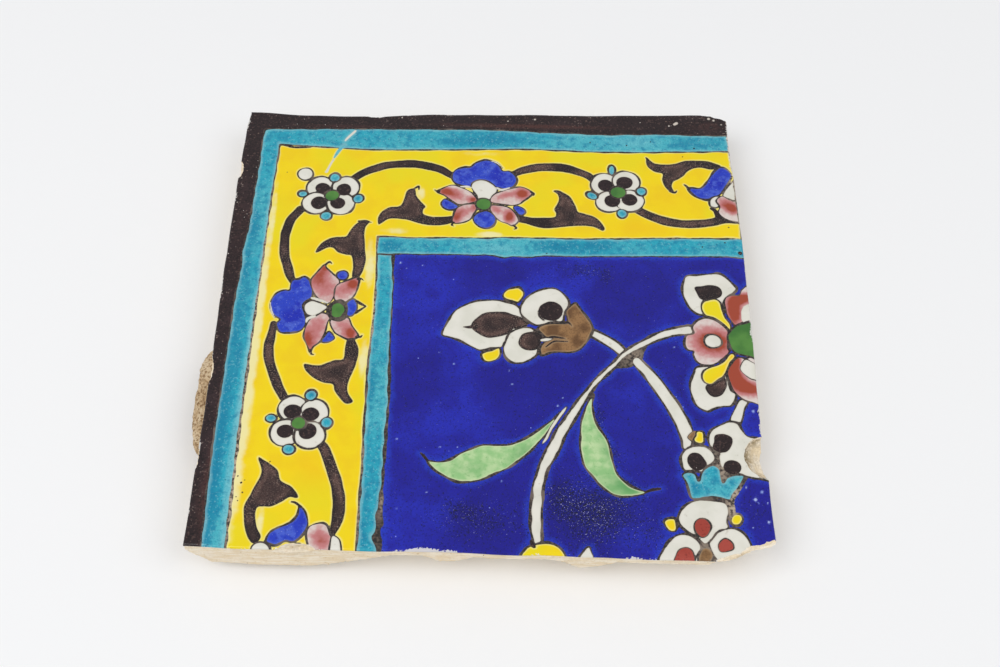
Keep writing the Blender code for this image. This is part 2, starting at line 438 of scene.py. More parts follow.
field_edge = inside_corner(
    [(-35, 25.7), (-10, 25.9), (0, 26), (4, 25.6), (7.5, 24.7), (11, 25.5), (18, 25.4), (24, 26.1),
     (40, 26.1), (60, 26.7), (80, 27.1), (94, 27.4), (100, 26.9)],
    [(-98, -34.4), (-94, -34.9), (-85, -34.6), (-75, -34.3), (-60, -34.2), (-40, -33.9), (-28, -34.3),
     (-15, -34.8), (0, -34.7), (12, -34.9), (22, -35.6)],
    rounding=0.2,
)
lay("black", -black_edge, line=0)
lay("turquoise", np.minimum(black_edge, -outer_blue_edge), line=0.8)
yellow_line = 0.9 + 0.5 * along_left([(-98, 1), (-30, 0.8), (10, 0)])
lay("yellow", np.minimum(outer_blue_edge, -yellow_edge), line=yellow_line)
lay("turquoise", np.minimum(yellow_edge, -field_edge), line=0.9)
left_joint = along_left([
    (-99, 3.4), (-96, 4.2), (-92, 3.4), (-85, 2.5), (-78, 1.7), (-60, 1.5), (-30, 1.4), (-14, 1.1),
    (-6, 0.5), (5, 0.5), (14, 1.1), (24, 1.5), (26, 0.8),
])
lay("cobalt", field_edge, line=np.where(FACE_X < -30, left_joint, 0.8))
stroke("black", [(-42, 25.6, 0.5), (-39, 25.3, 0.6), (-35.5, 25.4, 0.5)], line=0.3)

# where the dark line has worn off
for x, y, across, up, amount in (
    (16, 92.2, 4, 0.8, 1.0), (40, 91.4, 10, 0.7, 0.9), (52, 91.1, 6, 0.5, 0.7), (-41.8, -4, 1.3, 16, 0.9),
    (-86, -75, 1.5, 26, 0.9), (-41.9, -64, 1.0, 9, 0.5), (-41.8, -88, 0.9, 9, 0.6),
    (-34.2, -82, 0.7, 5, 0.6), (73, 36.3, 4, 0.8, 0.6), (98.5, 36, 2, 2, 0.6), (-72, 80, 12, 0.8, 0.4),
    (84.5, -66, 3, 5, 0.7), (89, -76, 3, 5, 0.85), (87, -82, 2.5, 4, 0.85), (-86, 5, 1.6, 60, 0.8),
    (100, 66, 2.5, 40, 0.9), (77.5, -98, 4, 4, 0.5), (79, -59, 4, 2, 0.5), (-42, 30, 1, 4, 0.6),
    (56, -20, 6, 5, 0.45),
):
    spot(bare, x, y, across, up, amount)


# Flowers, leaves and vines of the border
# Split leaves and thin scrolling stems in brown-black, four-petalled white blossoms and lotus
# blossoms in blue and pink, each cell flooded with its own colour on the yellow ground.

def split_leaf(points):
    """A dark leaf that forks, with its pale outline rubbed thin."""
    blob("vine", points, line=0.2)


for vine in (
    [(-73.5, 47, 3.4), (-76.5, 42, 3.5), (-78, 36, 3.6), (-78.2, 30, 3.7), (-77.5, 24, 3.6), (-76, 19, 3.4),
     (-74.5, 14.5, 3.2), (-73.5, 12, 2.6)],
    [(-54, 63, 3), (-50, 66.3, 3.4), (-45, 69, 3.6), (-40, 70.8, 3.7), (-30, 71.8, 3.8), (-20, 69.7, 3.7),
     (-14, 66, 3)],
    [(11, 67.5, 3), (15, 69.5, 3.6), (20, 71, 4), (26, 71.5, 4.3), (31, 71.2, 4), (36, 69.8, 3.8),
     (41, 67.4, 3.4), (43, 65.5, 3)],
    [(61, 49.5, 3.6), (64, 47.8, 4), (68, 45.8, 4), (72, 44.3, 4), (78, 43.4, 3.9), (85, 43.6, 3.9),
     (90, 44.6, 3.8), (95, 45.8, 3.4), (101, 44.6, 1)],
    [(-78.5, -8, 2.4), (-79, -14, 3.2), (-79.4, -19, 3.6), (-78.7, -24, 3.6), (-77, -29, 3.5),
     (-74.5, -35, 3.4), (-72, -40, 3.2)],
    [(-58, -58, 2.6), (-55.5, -61, 3.4), (-53.5, -66, 3.8), (-51.5, -71, 4), (-49.6, -77, 4),
     (-48.7, -84, 4.2), (-49, -89, 3.8), (-50, -93, 2.6), (-50.5, -95, 1.2)],
):
    stroke("vine", vine, line=0.2)

split_leaf([
    (-46, 41.4), (-47.4, 38), (-47.3, 33), (-46.8, 28), (-46.2, 23), (-46.6, 18), (-48.3, 14),
    (-50.6, 13.8), (-50.8, 19), (-51.5, 24), (-54, 25), (-57, 26), (-59, 28), (-61, 28.3), (-64, 26.5),
    (-65.7, 25.8), (-65, 28), (-63, 31), (-60, 33), (-56, 33.5), (-54.2, 34), (-53, 37), (-51, 40),
    (-48.5, 41.7),
])
split_leaf([
    (-48.3, -14.3), (-46.8, -17), (-46.2, -20.5), (-46.7, -25), (-48.2, -30), (-49, -34), (-48.9, -38),
    (-46.7, -41.3), (-49, -42.3), (-51.5, -40), (-53.5, -37), (-54.6, -34.2), (-58, -33.5), (-61, -32),
    (-63.5, -30), (-65.2, -28), (-65.7, -25.6), (-63, -26), (-60, -26.3), (-57, -25), (-54.5, -23.8),
    (-51.5, -23), (-51, -18), (-50.6, -14.3),
])
split_leaf([
    (-13, 45), (-17, 44.5), (-21, 44.5), (-24.6, 45.8), (-25, 48.2), (-24.2, 49.6), (-26, 52.3), (-28, 55),
    (-28.5, 58), (-29.8, 58.8), (-31.5, 57.5), (-32.5, 54), (-33.5, 50.5), (-35, 49.3), (-38, 49),
    (-41, 46.8), (-42.5, 43.5), (-42.3, 40.3), (-41, 41), (-38, 43), (-34, 43.2), (-30, 42.5), (-26, 41),
    (-22, 40.3), (-17, 40.5), (-13.5, 41.8),
])
split_leaf([
    (13, 46), (16, 45.5), (20, 45), (25, 45.2), (27.5, 45.8), (28, 47.5), (27.3, 49.5), (28.5, 52.5),
    (29.3, 55), (28.8, 57.3), (27, 58.9), (29, 59.3), (31, 58.2), (33.5, 56), (35.5, 52), (36.5, 48.5),
    (39, 47.5), (43, 46), (45.5, 43.5), (47, 40.5), (46.3, 39.2), (44.5, 40.2), (42, 41.2), (38, 41.5),
    (33, 41), (28, 40.3), (24, 39.9), (20, 40.5), (16, 42), (13, 43),
])
split_leaf([
    (65.6, 77.3), (65.3, 75), (66, 72.5), (68.5, 70.2), (71.5, 69.3), (71.3, 66), (72.2, 62.5),
    (74.5, 59.6), (75.5, 60), (74.8, 62.5), (75.5, 65), (77.5, 66.3), (80, 68.5), (82, 71), (85, 72.6),
    (88, 72.9), (91.5, 72), (94, 72.8), (95.5, 74), (93, 75.3), (90, 76.3), (85, 76.5), (80.5, 76),
    (77, 74.7), (73, 74), (69, 74.4), (66.8, 76.3),
])
split_leaf([
    (-78.3, -65), (-76.3, -66), (-74, -67.5), (-71, -70), (-70, -73.5), (-68, -75), (-65.5, -76.5),
    (-63, -80.3), (-66, -80.3), (-68.5, -82), (-72, -84), (-75, -84), (-76.8, -84.5), (-77, -88),
    (-76, -92), (-74.3, -95.5), (-76.5, -98), (-78.5, -96), (-80, -92), (-81, -87), (-80.8, -83),
    (-79, -78), (-77.5, -74), (-76.6, -70),
])
for hook in (
    [(-28.6, 59, 0.9), (-27.2, 60, 0.9), (-27, 58.3, 0.6)],
    [(-50, 41.5, 0.8), (-47, 41.8, 0.8), (-45.2, 41.1, 0.5)],
    [(74, 60, 0.8), (75.8, 59.3, 0.9), (76.8, 60.4, 0.5)],
    [(65.2, 77.7, 0.6), (66, 76.7, 0.9), (66.7, 75.6, 0.6)],
):
    stroke("vine", hook, line=0.1)


def blossom(petals, spots, centre, buds):
    """Four white petals with a dark spot each, round a green eye, with turquoise buds between them."""
    for x, y, across, up, turn in petals:
        disc("white", x, y, across, up, turn, line=1.0)
    for x, y, across, up in spots:
        disc("black", x, y, across, up, line=0.1)
    for x, y, across, up, turn in buds:
        disc("turquoise", x, y, across, up, turn, line=1.0)
    disc("green", *centre, line=0.9)


blossom(
    [(-66.3, 58.3, 5.6, 5.8, 20), (-56.3, 58.5, 5.6, 5.9, -15),
     (-67.5, 50.3, 5.7, 5.5, 0), (-57.8, 50.3, 5.7, 5.6, 0)],
    [(-65.5, 58, 3.0, 2.8), (-57, 57.5, 3.0, 3.0), (-66.5, 50.5, 3.0, 3.3), (-59, 50.5, 3.0, 2.8)],
    (-61.5, 54.4, 2.8),
    [(-61, 63.8, 2.2, 2.3, 0), (-73.2, 55, 2.0, 1.7, 0), (-51, 53, 2.2, 2.3, 0), (-63, 44, 2.3, 2.2, 0)],
)
disc("white", -73, 65.3, 3.2, line=0.9)
blossom(
    [(47.6, 63, 5.5, 5.8, -20), (56.5, 64.3, 5.6, 5.9, 15),
     (49.5, 54, 5.8, 5.4, 15), (57.6, 54.6, 5.8, 5.7, 0)],
    [(48, 62.3, 3.1, 3.1), (55.8, 64, 3.3, 3.1), (50.5, 54.3, 3.2, 3.1), (57.5, 55.2, 3.2, 2.9)],
    (53, 59, 3.2),
    [(50.8, 70.6, 1.5, 2.6, 0), (62.4, 59.6, 2.1, 2.2, 0),
     (42.4, 57, 2.5, 1.8, -35), (54.2, 47.9, 2.1, 2.3, 0)],
)
blossom(
    [(-68, -44.8, 5.4, 5.5, 0), (-60.3, -46.2, 5.2, 5.6, 10),
     (-70, -54.8, 5.4, 5.6, 0), (-61.2, -55.6, 5.6, 5.7, 0)],
    [(-68, -46, 3.2, 2.9), (-61.5, -47, 3.0, 2.8), (-70, -54.2, 2.8, 2.7), (-62, -54, 3.1, 3.3)],
    (-65.4, -50.8, 2.7),
    [(-62, -39, 2.2, 2.2, 0), (-75.5, -49, 2.1, 1.7, 0),
     (-55.5, -50.5, 2.2, 2.3, 0), (-68, -61.5, 2.2, 2.1, 0)],
)

# the lotus of the upper leg
blob("blue", [
    (-14, 65), (-12.7, 69), (-9.5, 70.6), (-6.5, 70.8), (-4.5, 73), (-1, 74.6), (2.5, 74), (5, 71.8),
    (6.5, 69), (9, 69), (11.5, 67), (12.4, 64), (11, 61), (7.5, 59.4), (3, 60.5), (-6.5, 60.3), (-9, 60.8),
    (-12.5, 62),
], line=1.0)
blob("white", [
    (-6, 60.5), (-5.5, 62.5), (-3, 63.9), (0, 63.8), (2.5, 62), (4.4, 59), (3.6, 56.5), (1.5, 54),
    (-3, 53.6), (-3.8, 55.5), (-5.2, 58),
])
blob("pink", [
    (-19.7, 57.4), (-17, 59.5), (-14, 60.9), (-11, 60.5), (-7.5, 58.5), (-4.5, 55.6), (-3.4, 53.5),
    (-5, 52.3), (-8, 51.5), (-11, 51), (-13.8, 53), (-16.8, 55.5),
])
blob("pink", [
    (2, 55), (3.6, 57), (6.5, 58.4), (10, 59.9), (13.5, 60.8), (16.5, 59.7), (18.6, 57.6), (17.3, 55.5),
    (15, 53.5), (13.5, 52), (10.5, 51), (7, 51.5), (4, 52), (2, 52.6),
])
blob("pink", [
    (2.4, 51), (6, 51), (9.5, 49.6), (11.7, 47), (13.2, 44), (12.4, 42), (10.6, 40.7), (8.5, 41.8),
    (5.8, 43), (4, 44.7), (2.5, 47), (1.7, 49),
])
blob("pink", [
    (-4, 51.4), (-7, 51.4), (-10, 50.2), (-12, 48.5), (-13, 45.5), (-13.2, 42.8), (-12, 41.4), (-8.5, 42),
    (-6, 43.6), (-4.9, 46), (-3.8, 48.5),
])
blob("blue", [
    (-17.8, 51.6), (-16.7, 53.7), (-14.7, 53), (-12, 51), (-11, 49.8), (-12.5, 48.4), (-15, 48.3),
    (-17, 49.5),
])
blob("blue", [(11, 50.2), (12.8, 50.9), (15, 49.6), (15.8, 47.5), (14.5, 46.2), (13, 46.5), (12, 48)])
blob("blue", [
    (-4.8, 44), (-4.2, 46), (-2.5, 47.4), (0, 48.1), (2.3, 47), (3.9, 44.6), (4, 42), (2.5, 40), (0, 39.2),
    (-2.5, 39.9), (-4.3, 41.9),
], line=1.0)
disc("green", -1, 51.4, 3.2)
stroke("white", [(-10.2, 60.4, 0.7), (-7.9, 60.5, 1.0), (-6.2, 60, 0.6)], line=0)
stroke("white", [(4.2, 60, 0.7), (6.3, 58.9, 1.0), (9.4, 60.2, 0.6)], line=0)
stroke("white", [(1.2, 74.4, 0.4), (4.2, 73.3, 0.8), (6.6, 70.6, 0.4)], line=0.1)
for hook in (
    [(-18.8, 57.6, 0.9), (-20, 57.8, 0.7), (-20.8, 58.6, 0.4)],
    [(17.9, 58.2, 0.9), (19.2, 57.4, 0.8), (18.9, 56.2, 0.4)],
    [(-12.6, 41.9, 0.9), (-13.4, 40.6, 0.7), (-12.4, 40, 0.4)],
    [(11, 41, 0.9), (12.2, 39.6, 0.8), (11.2, 39, 0.4)],
):
    stroke("vine", hook, line=0)
stroke("vine", [(-84.4, 80.6, 0.5), (-81.4, 80.3, 1.3), (-78.6, 79.4, 1.0), (-72, 79.6, 0.5)], line=0.1)

# the lotus of the left leg
blob("blue", [
    (-73.5, 12.5), (-71, 13), (-69, 14), (-67, 12.5), (-66, 10), (-65.3, 6), (-65.5, 4), (-68, 2),
    (-68.5, 0), (-67.5, -3), (-66.5, -6), (-67, -9), (-69, -11.5), (-73, -12), (-76, -11.5), (-77.5, -8),
    (-76.5, -6), (-79, -4), (-80.5, -1), (-80.5, 3), (-79, 6), (-76, 7.5), (-74, 7.5), (-74, 10),
], line=1.0)
blob("pink", [
    (-61.5, 20), (-62.6, 19), (-65, 15.5), (-66.5, 12), (-65.5, 8), (-64, 5), (-61.5, 3), (-59, 1.5),
    (-57.5, 4), (-56.5, 8), (-55.5, 11), (-56, 13.5), (-58, 15.5), (-60.8, 18.3),
])
blob("pink", [
    (-56.5, 10), (-54.5, 11.7), (-50.5, 13.6), (-48, 13.6), (-48.5, 8), (-50.5, 4), (-54, 2), (-56.7, 3.5),
    (-57, 7),
])
blob("pink", [
    (-59.5, -3), (-62, -3), (-65, -5), (-66.5, -9), (-67, -13), (-66, -16), (-64, -20.5), (-63, -18),
    (-60.5, -15.5), (-59, -11), (-58.4, -7), (-57.8, -4.6),
])
blob("pink", [
    (-57.6, -6.2), (-54, -4.4), (-51, -4.7), (-49.4, -8), (-46.6, -13.2), (-50, -14.4), (-53, -13.2),
    (-55.7, -11),
])
blob("white", [
    (-59, 0), (-62, 2), (-65, 3), (-67.5, 1.5), (-68, -1), (-67, -3.5), (-65, -4.5), (-63, -4), (-60.5, -2),
])
disc("blue", -54.5, 15, 2.2)
blob("blue", [(-57.5, -11), (-55.5, -14), (-57.5, -16), (-60, -15.7), (-59, -13)], line=0.8)
blob("blue", [(-52.5, 0), (-51.5, 3.2), (-49.5, 4), (-48.2, 2), (-48, -1), (-49.5, -3.8), (-51.5, -3.6)])
stroke("vine", [(-48.6, 3, 0.9), (-46.5, 1.7, 1.0), (-44.7, 0.8, 0.6)], line=0.2)
stroke("vine", [(-48.4, -2.6, 0.9), (-46.6, -0.8, 0.8), (-45, 0.5, 0.5)], line=0.2)
disc("green", -55.2, -1.5, 3.4, 4.2, line=2.4)
stroke("white", [(-65.4, 4, 0.8), (-62, 3.2, 1.2), (-59.2, 1.8, 0.6)], line=0)
stroke("white", [(-66.4, -7, 0.6), (-66, -5.4, 1.2), (-63.4, -4.4, 0.8)], line=0)
stroke("white", [(-80.7, 1.8, 0.3), (-80.1, -2, 0.7), (-78.4, -5.4, 0.3)], line=0)
for hook in (
    [(-63.9, -19.6, 0.9), (-63.4, -21.2, 0.8), (-62.4, -21.4, 0.4)],
    [(-47.4, -13.4, 0.9), (-45.8, -13.4, 0.8), (-45.2, -12.4, 0.4)],
    [(-48.6, 13.2, 0.9), (-47.2, 13.4, 0.7), (-46.2, 12.4, 0.4)],
):
    stroke("vine", hook, line=0)
stroke("vine", [(-61.3, 20, 0.9), (-60, 21.3, 0.8), (-59, 20.5, 0.5)], line=0.1)

# blossoms that the right and front edges of the tile cut through
blob("blue", [
    (95.5, 73.3), (98, 72.3), (99.7, 69.5), (98.8, 66.5), (97, 63), (95, 60), (93, 57.8), (90, 56.3),
    (87.5, 56), (84.5, 57.3), (82.5, 59.5), (81.3, 62), (83, 62.2), (86, 61.8), (88, 63.5), (90, 66.5),
    (91.5, 69.5), (93, 71.5),
], line=1.2)
stroke("vine", [(82, 61.5, 0.9), (80.8, 63, 1.0), (79.9, 63.6, 0.6)], line=0.1)
blob("white", [
    (102, 68), (99.5, 65.5), (98, 63.5), (96.3, 61), (95.2, 58.2), (97, 56.2), (100, 55.7), (103, 56),
    (104, 64),
])
blob("white", [(92.3, 52), (89.6, 52.8), (89.8, 56), (92.5, 58), (95, 57), (94, 54)])
blob("pink", [
    (92.3, 55.5), (94.6, 58), (97, 56.6), (100, 55.3), (103, 54), (103, 45.5), (98, 45.4), (94.6, 46.6),
    (92.8, 49.3), (93.6, 52.4),
])
stroke("vine", [(90, 51.5, 1.4), (91.5, 50.2, 1.7), (92.4, 47.5, 2.4), (93, 45.8, 2.2)], line=0.1)
disc("white", -74, -100.5, 3.4, 3.2)
blob("blue", [
    (-62, -83.5), (-60, -86), (-58.8, -90), (-59.5, -93.5), (-62, -96.5), (-64, -97.3), (-66, -97),
    (-68.5, -98.5), (-70.5, -98.3), (-72.5, -97), (-71.5, -94), (-69, -92), (-65, -90), (-63, -87.5),
    (-62.5, -85),
], line=1.0)
stroke("vine", [(-61.6, -84, 0.9), (-63.5, -82.4, 0.9), (-65.2, -82, 0.5)], line=0.1)
blob("pink", [
    (-58.3, -91.6), (-55, -89.9), (-52.5, -90.6), (-51, -94), (-50, -96), (-49.6, -102), (-56, -102),
    (-58.8, -96),
])
blob("white", [(-50.4, -95.2), (-48.8, -95), (-47.3, -97), (-46.8, -102.5), (-50.6, -102.5)], line=0.7)
disc("white", -61.5, -100, 3, 2.4, line=0.7)
stroke("white", [(-54.5, 89, 0.9), (-57, 85.5, 0.9), (-58.3, 83.5, 0.5)], line=-0.2)
stroke("turquoise", [(-58.6, 81, 1.0), (-60.6, 77.5, 1.6), (-62.3, 74, 0.9)], line=-0.2)
stroke("white", [(-62.4, 73, 0.5), (-63.6, 70, 0.6), (-64.8, 66.6, 1.0)], line=-0.2)


# Flowers, leaves and stems of the field
# Larger blossoms on the cobalt ground: a white bud in a brown calyx, a half rosette that went on
# to the next tile, and two three-petalled blossoms on thick white stems with pale green leaves.

blob("leaf", [
    (-19, -65.3), (-15, -65.5), (-11, -64.3), (-8, -62.3), (-4, -60), (0, -58.5), (5, -58.3), (10, -58),
    (15, -55.6), (20, -52), (24, -48.6), (27, -45.6), (30.5, -42), (28, -46), (25.5, -50), (22.5, -54),
    (19, -58.5), (15, -62.8), (10, -67), (4, -70.3), (0, -72.2), (-4, -73.3), (-8, -73.3), (-12, -71.5),
    (-16, -69),
], line=1.1)
blob("leaf", [
    (40.2, -36.5), (39.8, -41), (40.3, -46), (42, -50.5), (44.3, -55), (45.8, -60), (46.5, -65),
    (48, -69.5), (51.5, -73), (55, -75), (57.4, -76.2), (54.5, -77.3), (50, -78), (46.5, -77.5), (43, -75),
    (39.5, -71), (36.8, -67), (35.3, -62), (34.9, -56), (35.3, -50), (36.3, -45), (38.2, -40),
], line=1.1)
stroke("black", [(57.3, -76, 0.9), (60, -75, 1.2), (62.5, -74.6, 1.0)], line=0.1)
stroke("black", [(-19, -65, 1.0), (-20.5, -63.2, 1.1), (-21.6, -62.2, 0.6)], line=0.1)
blob("white", [
    (30.3, -41.8), (28, -44.6), (26, -47.6), (24.2, -51), (21.5, -57.3), (22.8, -56.5), (25, -52),
    (27.5, -47.6), (30, -43.8),
], line=0.5)

stroke("white", [(40.5, -9.6, 3.4), (45, -12.2, 4), (49, -15.2, 4), (52.5, -18.8, 3.6)], line=1.2)
stroke("white", [
    (56.8, -22, 3.8), (59.5, -25.3, 4.2), (62.7, -30, 4.6), (65.6, -35, 4.8), (68.4, -40, 5),
    (70.7, -45, 5.2), (72.7, -50.3, 5.2), (73.2, -54, 4.2), (73, -57.5, 3.4),
], line=1.1)
stroke("white", [
    (19.6, -96.5, 3), (19.1, -90, 4), (19.1, -85, 4.2), (19.5, -80, 4), (19.9, -75, 3.8), (21, -70, 3.6),
    (22.7, -65, 3.9), (25.2, -60, 4.3), (27.2, -55, 4.1), (29.8, -50, 3.9), (32.7, -45, 3.3),
    (35.6, -40, 2.7), (38.7, -35, 2.2), (43, -29.3, 2.1), (48, -24, 2.2), (52.5, -18.9, 2.2),
    (58, -14.9, 2.4), (64, -11.4, 3), (70, -8.8, 3.4), (77, -7.3, 4),
], line=1.3)
blob("white", [
    (97, -38), (95.2, -41.5), (92.8, -47.8), (89.2, -47.2), (90.8, -42.8), (93.2, -38),
], line=0.8)

# the bud
blob("umber", [
    (34.5, 4), (36, 2.3), (38, -1), (40.3, -5), (41, -8), (39.8, -11), (38, -14.5), (35.5, -17.3),
    (32, -18.5), (28, -18.5), (25, -18.8), (22, -20), (21, -19), (21.3, -16), (23, -13.6), (22.5, -11.5),
    (20.5, -9.3), (20.5, -7.5), (23.5, -6), (27.5, -5.3), (31, -5.2), (31.4, -3), (31, 0), (32.5, 2.5),
], line=1.1)
stroke("black", [(30.5, -4.9, 0.7), (32, -5.3, 0.8), (33.2, -6.6, 0.4)], line=0.1)
stroke("black", [(21.7, -12.3, 1.1), (23.2, -11.9, 0.8), (24.5, -12.1, 0.4)], line=0.1)
blob("white", [
    (-15.4, -11.6), (-14.6, -8), (-13, -4), (-10, 0.2), (-6, 2.8), (-2, 4.3), (2, 4.7), (6.5, 4.4),
    (11, 3.2), (13.5, 1), (17, -4), (14, -9), (8, -14), (6.5, -16.8), (3, -17.3), (-1, -18.3), (-4, -17),
    (-8, -14.6), (-12, -12.8),
], line=1.0)
blob("vine", [
    (-4.6, -6.6), (-3, -4), (0, -1.6), (4, -0.8), (8, -0.8), (11, -2), (14, -3.2), (16.7, -5.1), (16, -7),
    (13, -8), (11, -8.4), (9, -10.6), (5, -12.1), (2, -12.6), (-1, -11.6), (-4, -9),
], line=0.1)
stroke("vine", [(-3.5, -7.4, 1.6), (-5.6, -7.9, 1.2), (-7.6, -7.8, 0.4)], line=0)
blob("yellow", [
    (7.2, 7), (8.5, 9.5), (11, 10.7), (13.5, 10.8), (15, 8.5), (14.4, 6), (12.8, 3.8), (10.5, 4.4),
    (8, 5.4),
], line=1.1)
blob("yellow", [
    (-0.8, -20.2), (0.5, -18.7), (3, -18), (5.8, -17.1), (6.4, -19.5), (5.5, -21.6), (3, -23.1),
    (0.5, -22.8),
], line=1.1)
blob("white", [
    (13.6, 0), (14.4, 3.5), (16.5, 6.6), (19.5, 9), (23, 10.4), (26.5, 10.6), (29.5, 9), (31.8, 6),
    (32.2, 3), (31, 0.4), (30.3, -2), (29.5, -4.8), (25, -5), (20.5, -6.6), (17, -5.2), (14.5, -2.7),
], line=1.2)
disc("black", 25.3, 0.1, 4.6, 4.4, line=0.1)
stroke("black", [(20.6, 0, 0.4), (20.8, -2.4, 0.7), (22.6, -4.3, 0.6)], line=0.1)
blob("white", [
    (8, -14), (9.5, -10.6), (12.5, -8.5), (16, -7.5), (18.5, -8.3), (20.4, -12), (20.4, -16), (20, -19.5),
    (17.5, -22), (14, -23.6), (10.5, -23.2), (8.2, -21), (7.4, -17.5),
], line=1.1)
blob("vine", [
    (13.1, -14.3), (14.3, -11), (17, -9.6), (20, -10), (22, -12), (21.2, -15), (19.7, -17.4), (16.6, -18),
    (14.2, -16.8),
], line=0.1)
for fold in (
    [(22.5, -12.6, 0.6), (26.4, -11.6, 0.9), (30.6, -12.4, 0.5)],
    [(23.2, -16.4, 0.5), (26.5, -13.6, 0.7), (31.5, -13.6, 0.4)],
):
    stroke("vine", fold, line=0)
stroke("white", [(21.6, -13.2, 1.2), (23.6, -13, 1.5), (25.6, -12.6, 0.5)], line=0.3)

# the half rosette
blob("white", [
    (78, 18), (82, 18.3), (86, 18.8), (90, 19.4), (92.8, 17.8), (95.5, 14.3), (97, 12), (95.5, 10),
    (93, 8.3), (91.3, 5.5), (91, 1), (88, -1), (84.5, -0.8), (82.3, -0.5), (80.3, 0.3), (77.8, 3),
    (76.3, 6.5), (75.8, 10.5), (76.3, 14.5),
], line=1.2)
blob("vine", [
    (80.6, 12.6), (83.5, 13.1), (86.5, 13.6), (89.6, 13), (90.9, 10.8), (90.4, 8.3), (88.5, 7.2), (86, 6.9),
    (84, 6.6), (82.3, 7.3), (81.3, 9.8),
], line=0.1)
blob("white", [
    (79.5, -23.6), (77.3, -26.7), (76, -30.5), (75.9, -34.5), (76.6, -38.3), (78.4, -41.3), (81.3, -42.9),
    (84, -41.8), (87, -40.9), (90, -40.3), (91.9, -37.8), (92.4, -35.3), (90.6, -33.5), (90, -29),
    (88, -24),
], line=1.2)
blob("vine", [
    (86.5, -29), (88.3, -27.6), (89.2, -29.5), (89, -32.5), (87.5, -35.5), (85, -36.7), (82.7, -36),
    (81.4, -33.4), (82, -31.6), (84, -31),
], line=0.1)
blob("pink", [
    (91.5, 5), (92.3, 7.8), (94.5, 9.2), (97.4, 9.2), (99, 12), (103, 14), (103, -3), (98, -3.4),
    (94.8, -5), (93, -2), (91.8, 1.5),
], line=0.8)
blob("white", [(103, 5), (99.6, 4.4), (98, 2.6), (97.3, 0), (97.8, -3.2), (103, -4)], line=0)
blob("pink", [
    (94.5, -19.3), (97.5, -19.8), (103, -19), (103, -38), (98, -38.7), (95, -37.8), (93, -35.8),
    (91.2, -33), (90.2, -29), (90.3, -25), (91.8, -22),
], line=0.8)
blob("white", [
    (96.8, -20.4), (99.5, -21.3), (102, -23), (102, -28.5), (99, -28.9), (96.3, -27), (94.9, -24),
], line=0.5)
blob("yellow", [
    (83.3, 5.8), (85, 6.6), (88, 7), (90, 5.5), (90.5, 2), (91.3, -1.5), (93, -5), (92.4, -7.8),
    (90.8, -6.5), (89, -3.5), (86.5, -1.5), (84, -0.8), (82.8, 1.5), (82.6, 4),
], line=0.9)
blob("yellow", [
    (92.3, -17.6), (93.6, -19), (91.5, -21.8), (90, -25), (88.5, -27.8), (86, -29.5), (83.8, -31.2),
    (81.5, -30.7), (80.4, -28.5), (81, -26), (83, -24.3), (86.5, -23), (89.5, -20.7),
], line=0.9)
blob("pink", [
    (78.4, -5.8), (80.5, -3), (84, -1.7), (87.5, -2.5), (90.3, -5), (92, -8), (91.5, -12), (91, -15),
    (91.5, -17), (89, -20), (85.5, -22.5), (82, -23), (79, -21.5), (77.8, -18.6), (78, -17), (76, -16.3),
    (75, -14), (75.2, -11.5), (76.3, -9.6), (78.6, -8.8),
], line=1.2)
disc("white", 85.7, -12.3, 3.4, 3.1, line=1.0)
blob("green", [
    (94.5, -5.5), (98, -3.9), (103, -3.8), (103, -18.6), (97.5, -18.6), (93.6, -17), (91.6, -13.5),
    (91.6, -9.3),
], line=1.1)

# the two three-petalled blossoms at the front right corner
upper_petals = [
    [(86.5, -48), (89, -46.9), (92, -47.5), (93.3, -50), (95, -53), (99, -53.6), (103, -54.5), (103, -62),
     (92, -61.5), (88, -60.8), (84.5, -60.5), (81.5, -57.5), (80.8, -53.5), (82.5, -50.3)],
    [(84.4, -60.4), (88, -58.5), (94, -58.5), (103, -59), (103, -70), (97, -70.1), (93.5, -69.3),
     (91, -68.2), (87.5, -68.8), (85, -66.7), (83.9, -63.8)],
]
part = near(sum(upper_petals, []), 6)
lay("white", np.maximum(*(blob_depth(points, part) for points in upper_petals)), part, line=1.1)
blob("black", [
    (83.4, -52.8), (86.5, -52.3), (89.4, -53.8), (88.5, -57.3), (86.8, -59.5), (84, -59.6), (82.2, -58),
    (82.8, -55.5),
], line=0.1)
disc("black", 88.4, -65.6, 3.1, 2.9, line=0.1)
blob("white", [
    (70.6, -61.5), (72.5, -58.8), (76, -57.1), (79.5, -57.3), (82, -59.5), (82.8, -62), (81.5, -64.2),
    (79, -65.5), (77.5, -67.7), (75, -67.5), (71.5, -67.2), (70.3, -64.5),
], line=1.2)
blob("black", [
    (72.7, -62.5), (74.4, -60.2), (77, -60.2), (78.9, -62.8), (79.5, -64.6), (77.5, -66.8), (75.3, -67.1),
    (73.1, -65.2),
], line=0.1)
blob("umber", [
    (73.4, -53.8), (75, -51.6), (77, -51.2), (76.8, -54), (76.2, -56.2), (74.6, -55.4),
], line=0.4)
blob("yellow", [
    (76.7, -51.4), (79.1, -51.4), (79.4, -54), (78.9, -56.1), (76.4, -56.1), (75.4, -54.8), (76.3, -53),
], line=0.9)
blob("turquoise", [
    (70.6, -68.9), (73, -67.7), (75.2, -68.6), (76.2, -71.2), (77.3, -68.3), (79.2, -66), (81.7, -64.8),
    (83.9, -66.3), (84.5, -68.6), (84.7, -71.6), (86, -69.8), (88.8, -68.9), (92.3, -68.9), (91.2, -71.6),
    (89.6, -74), (87.6, -76.4), (86.6, -78.6), (82, -77.7), (78, -77.8), (75, -78.3), (73.2, -78),
    (72.3, -74.5), (71.6, -71.6),
], line=1.1)
blob("yellow", [
    (63, -87.5), (64.5, -86), (67, -85.9), (67.5, -88.5), (66.7, -90.8), (64.5, -90.5),
], line=1.2)
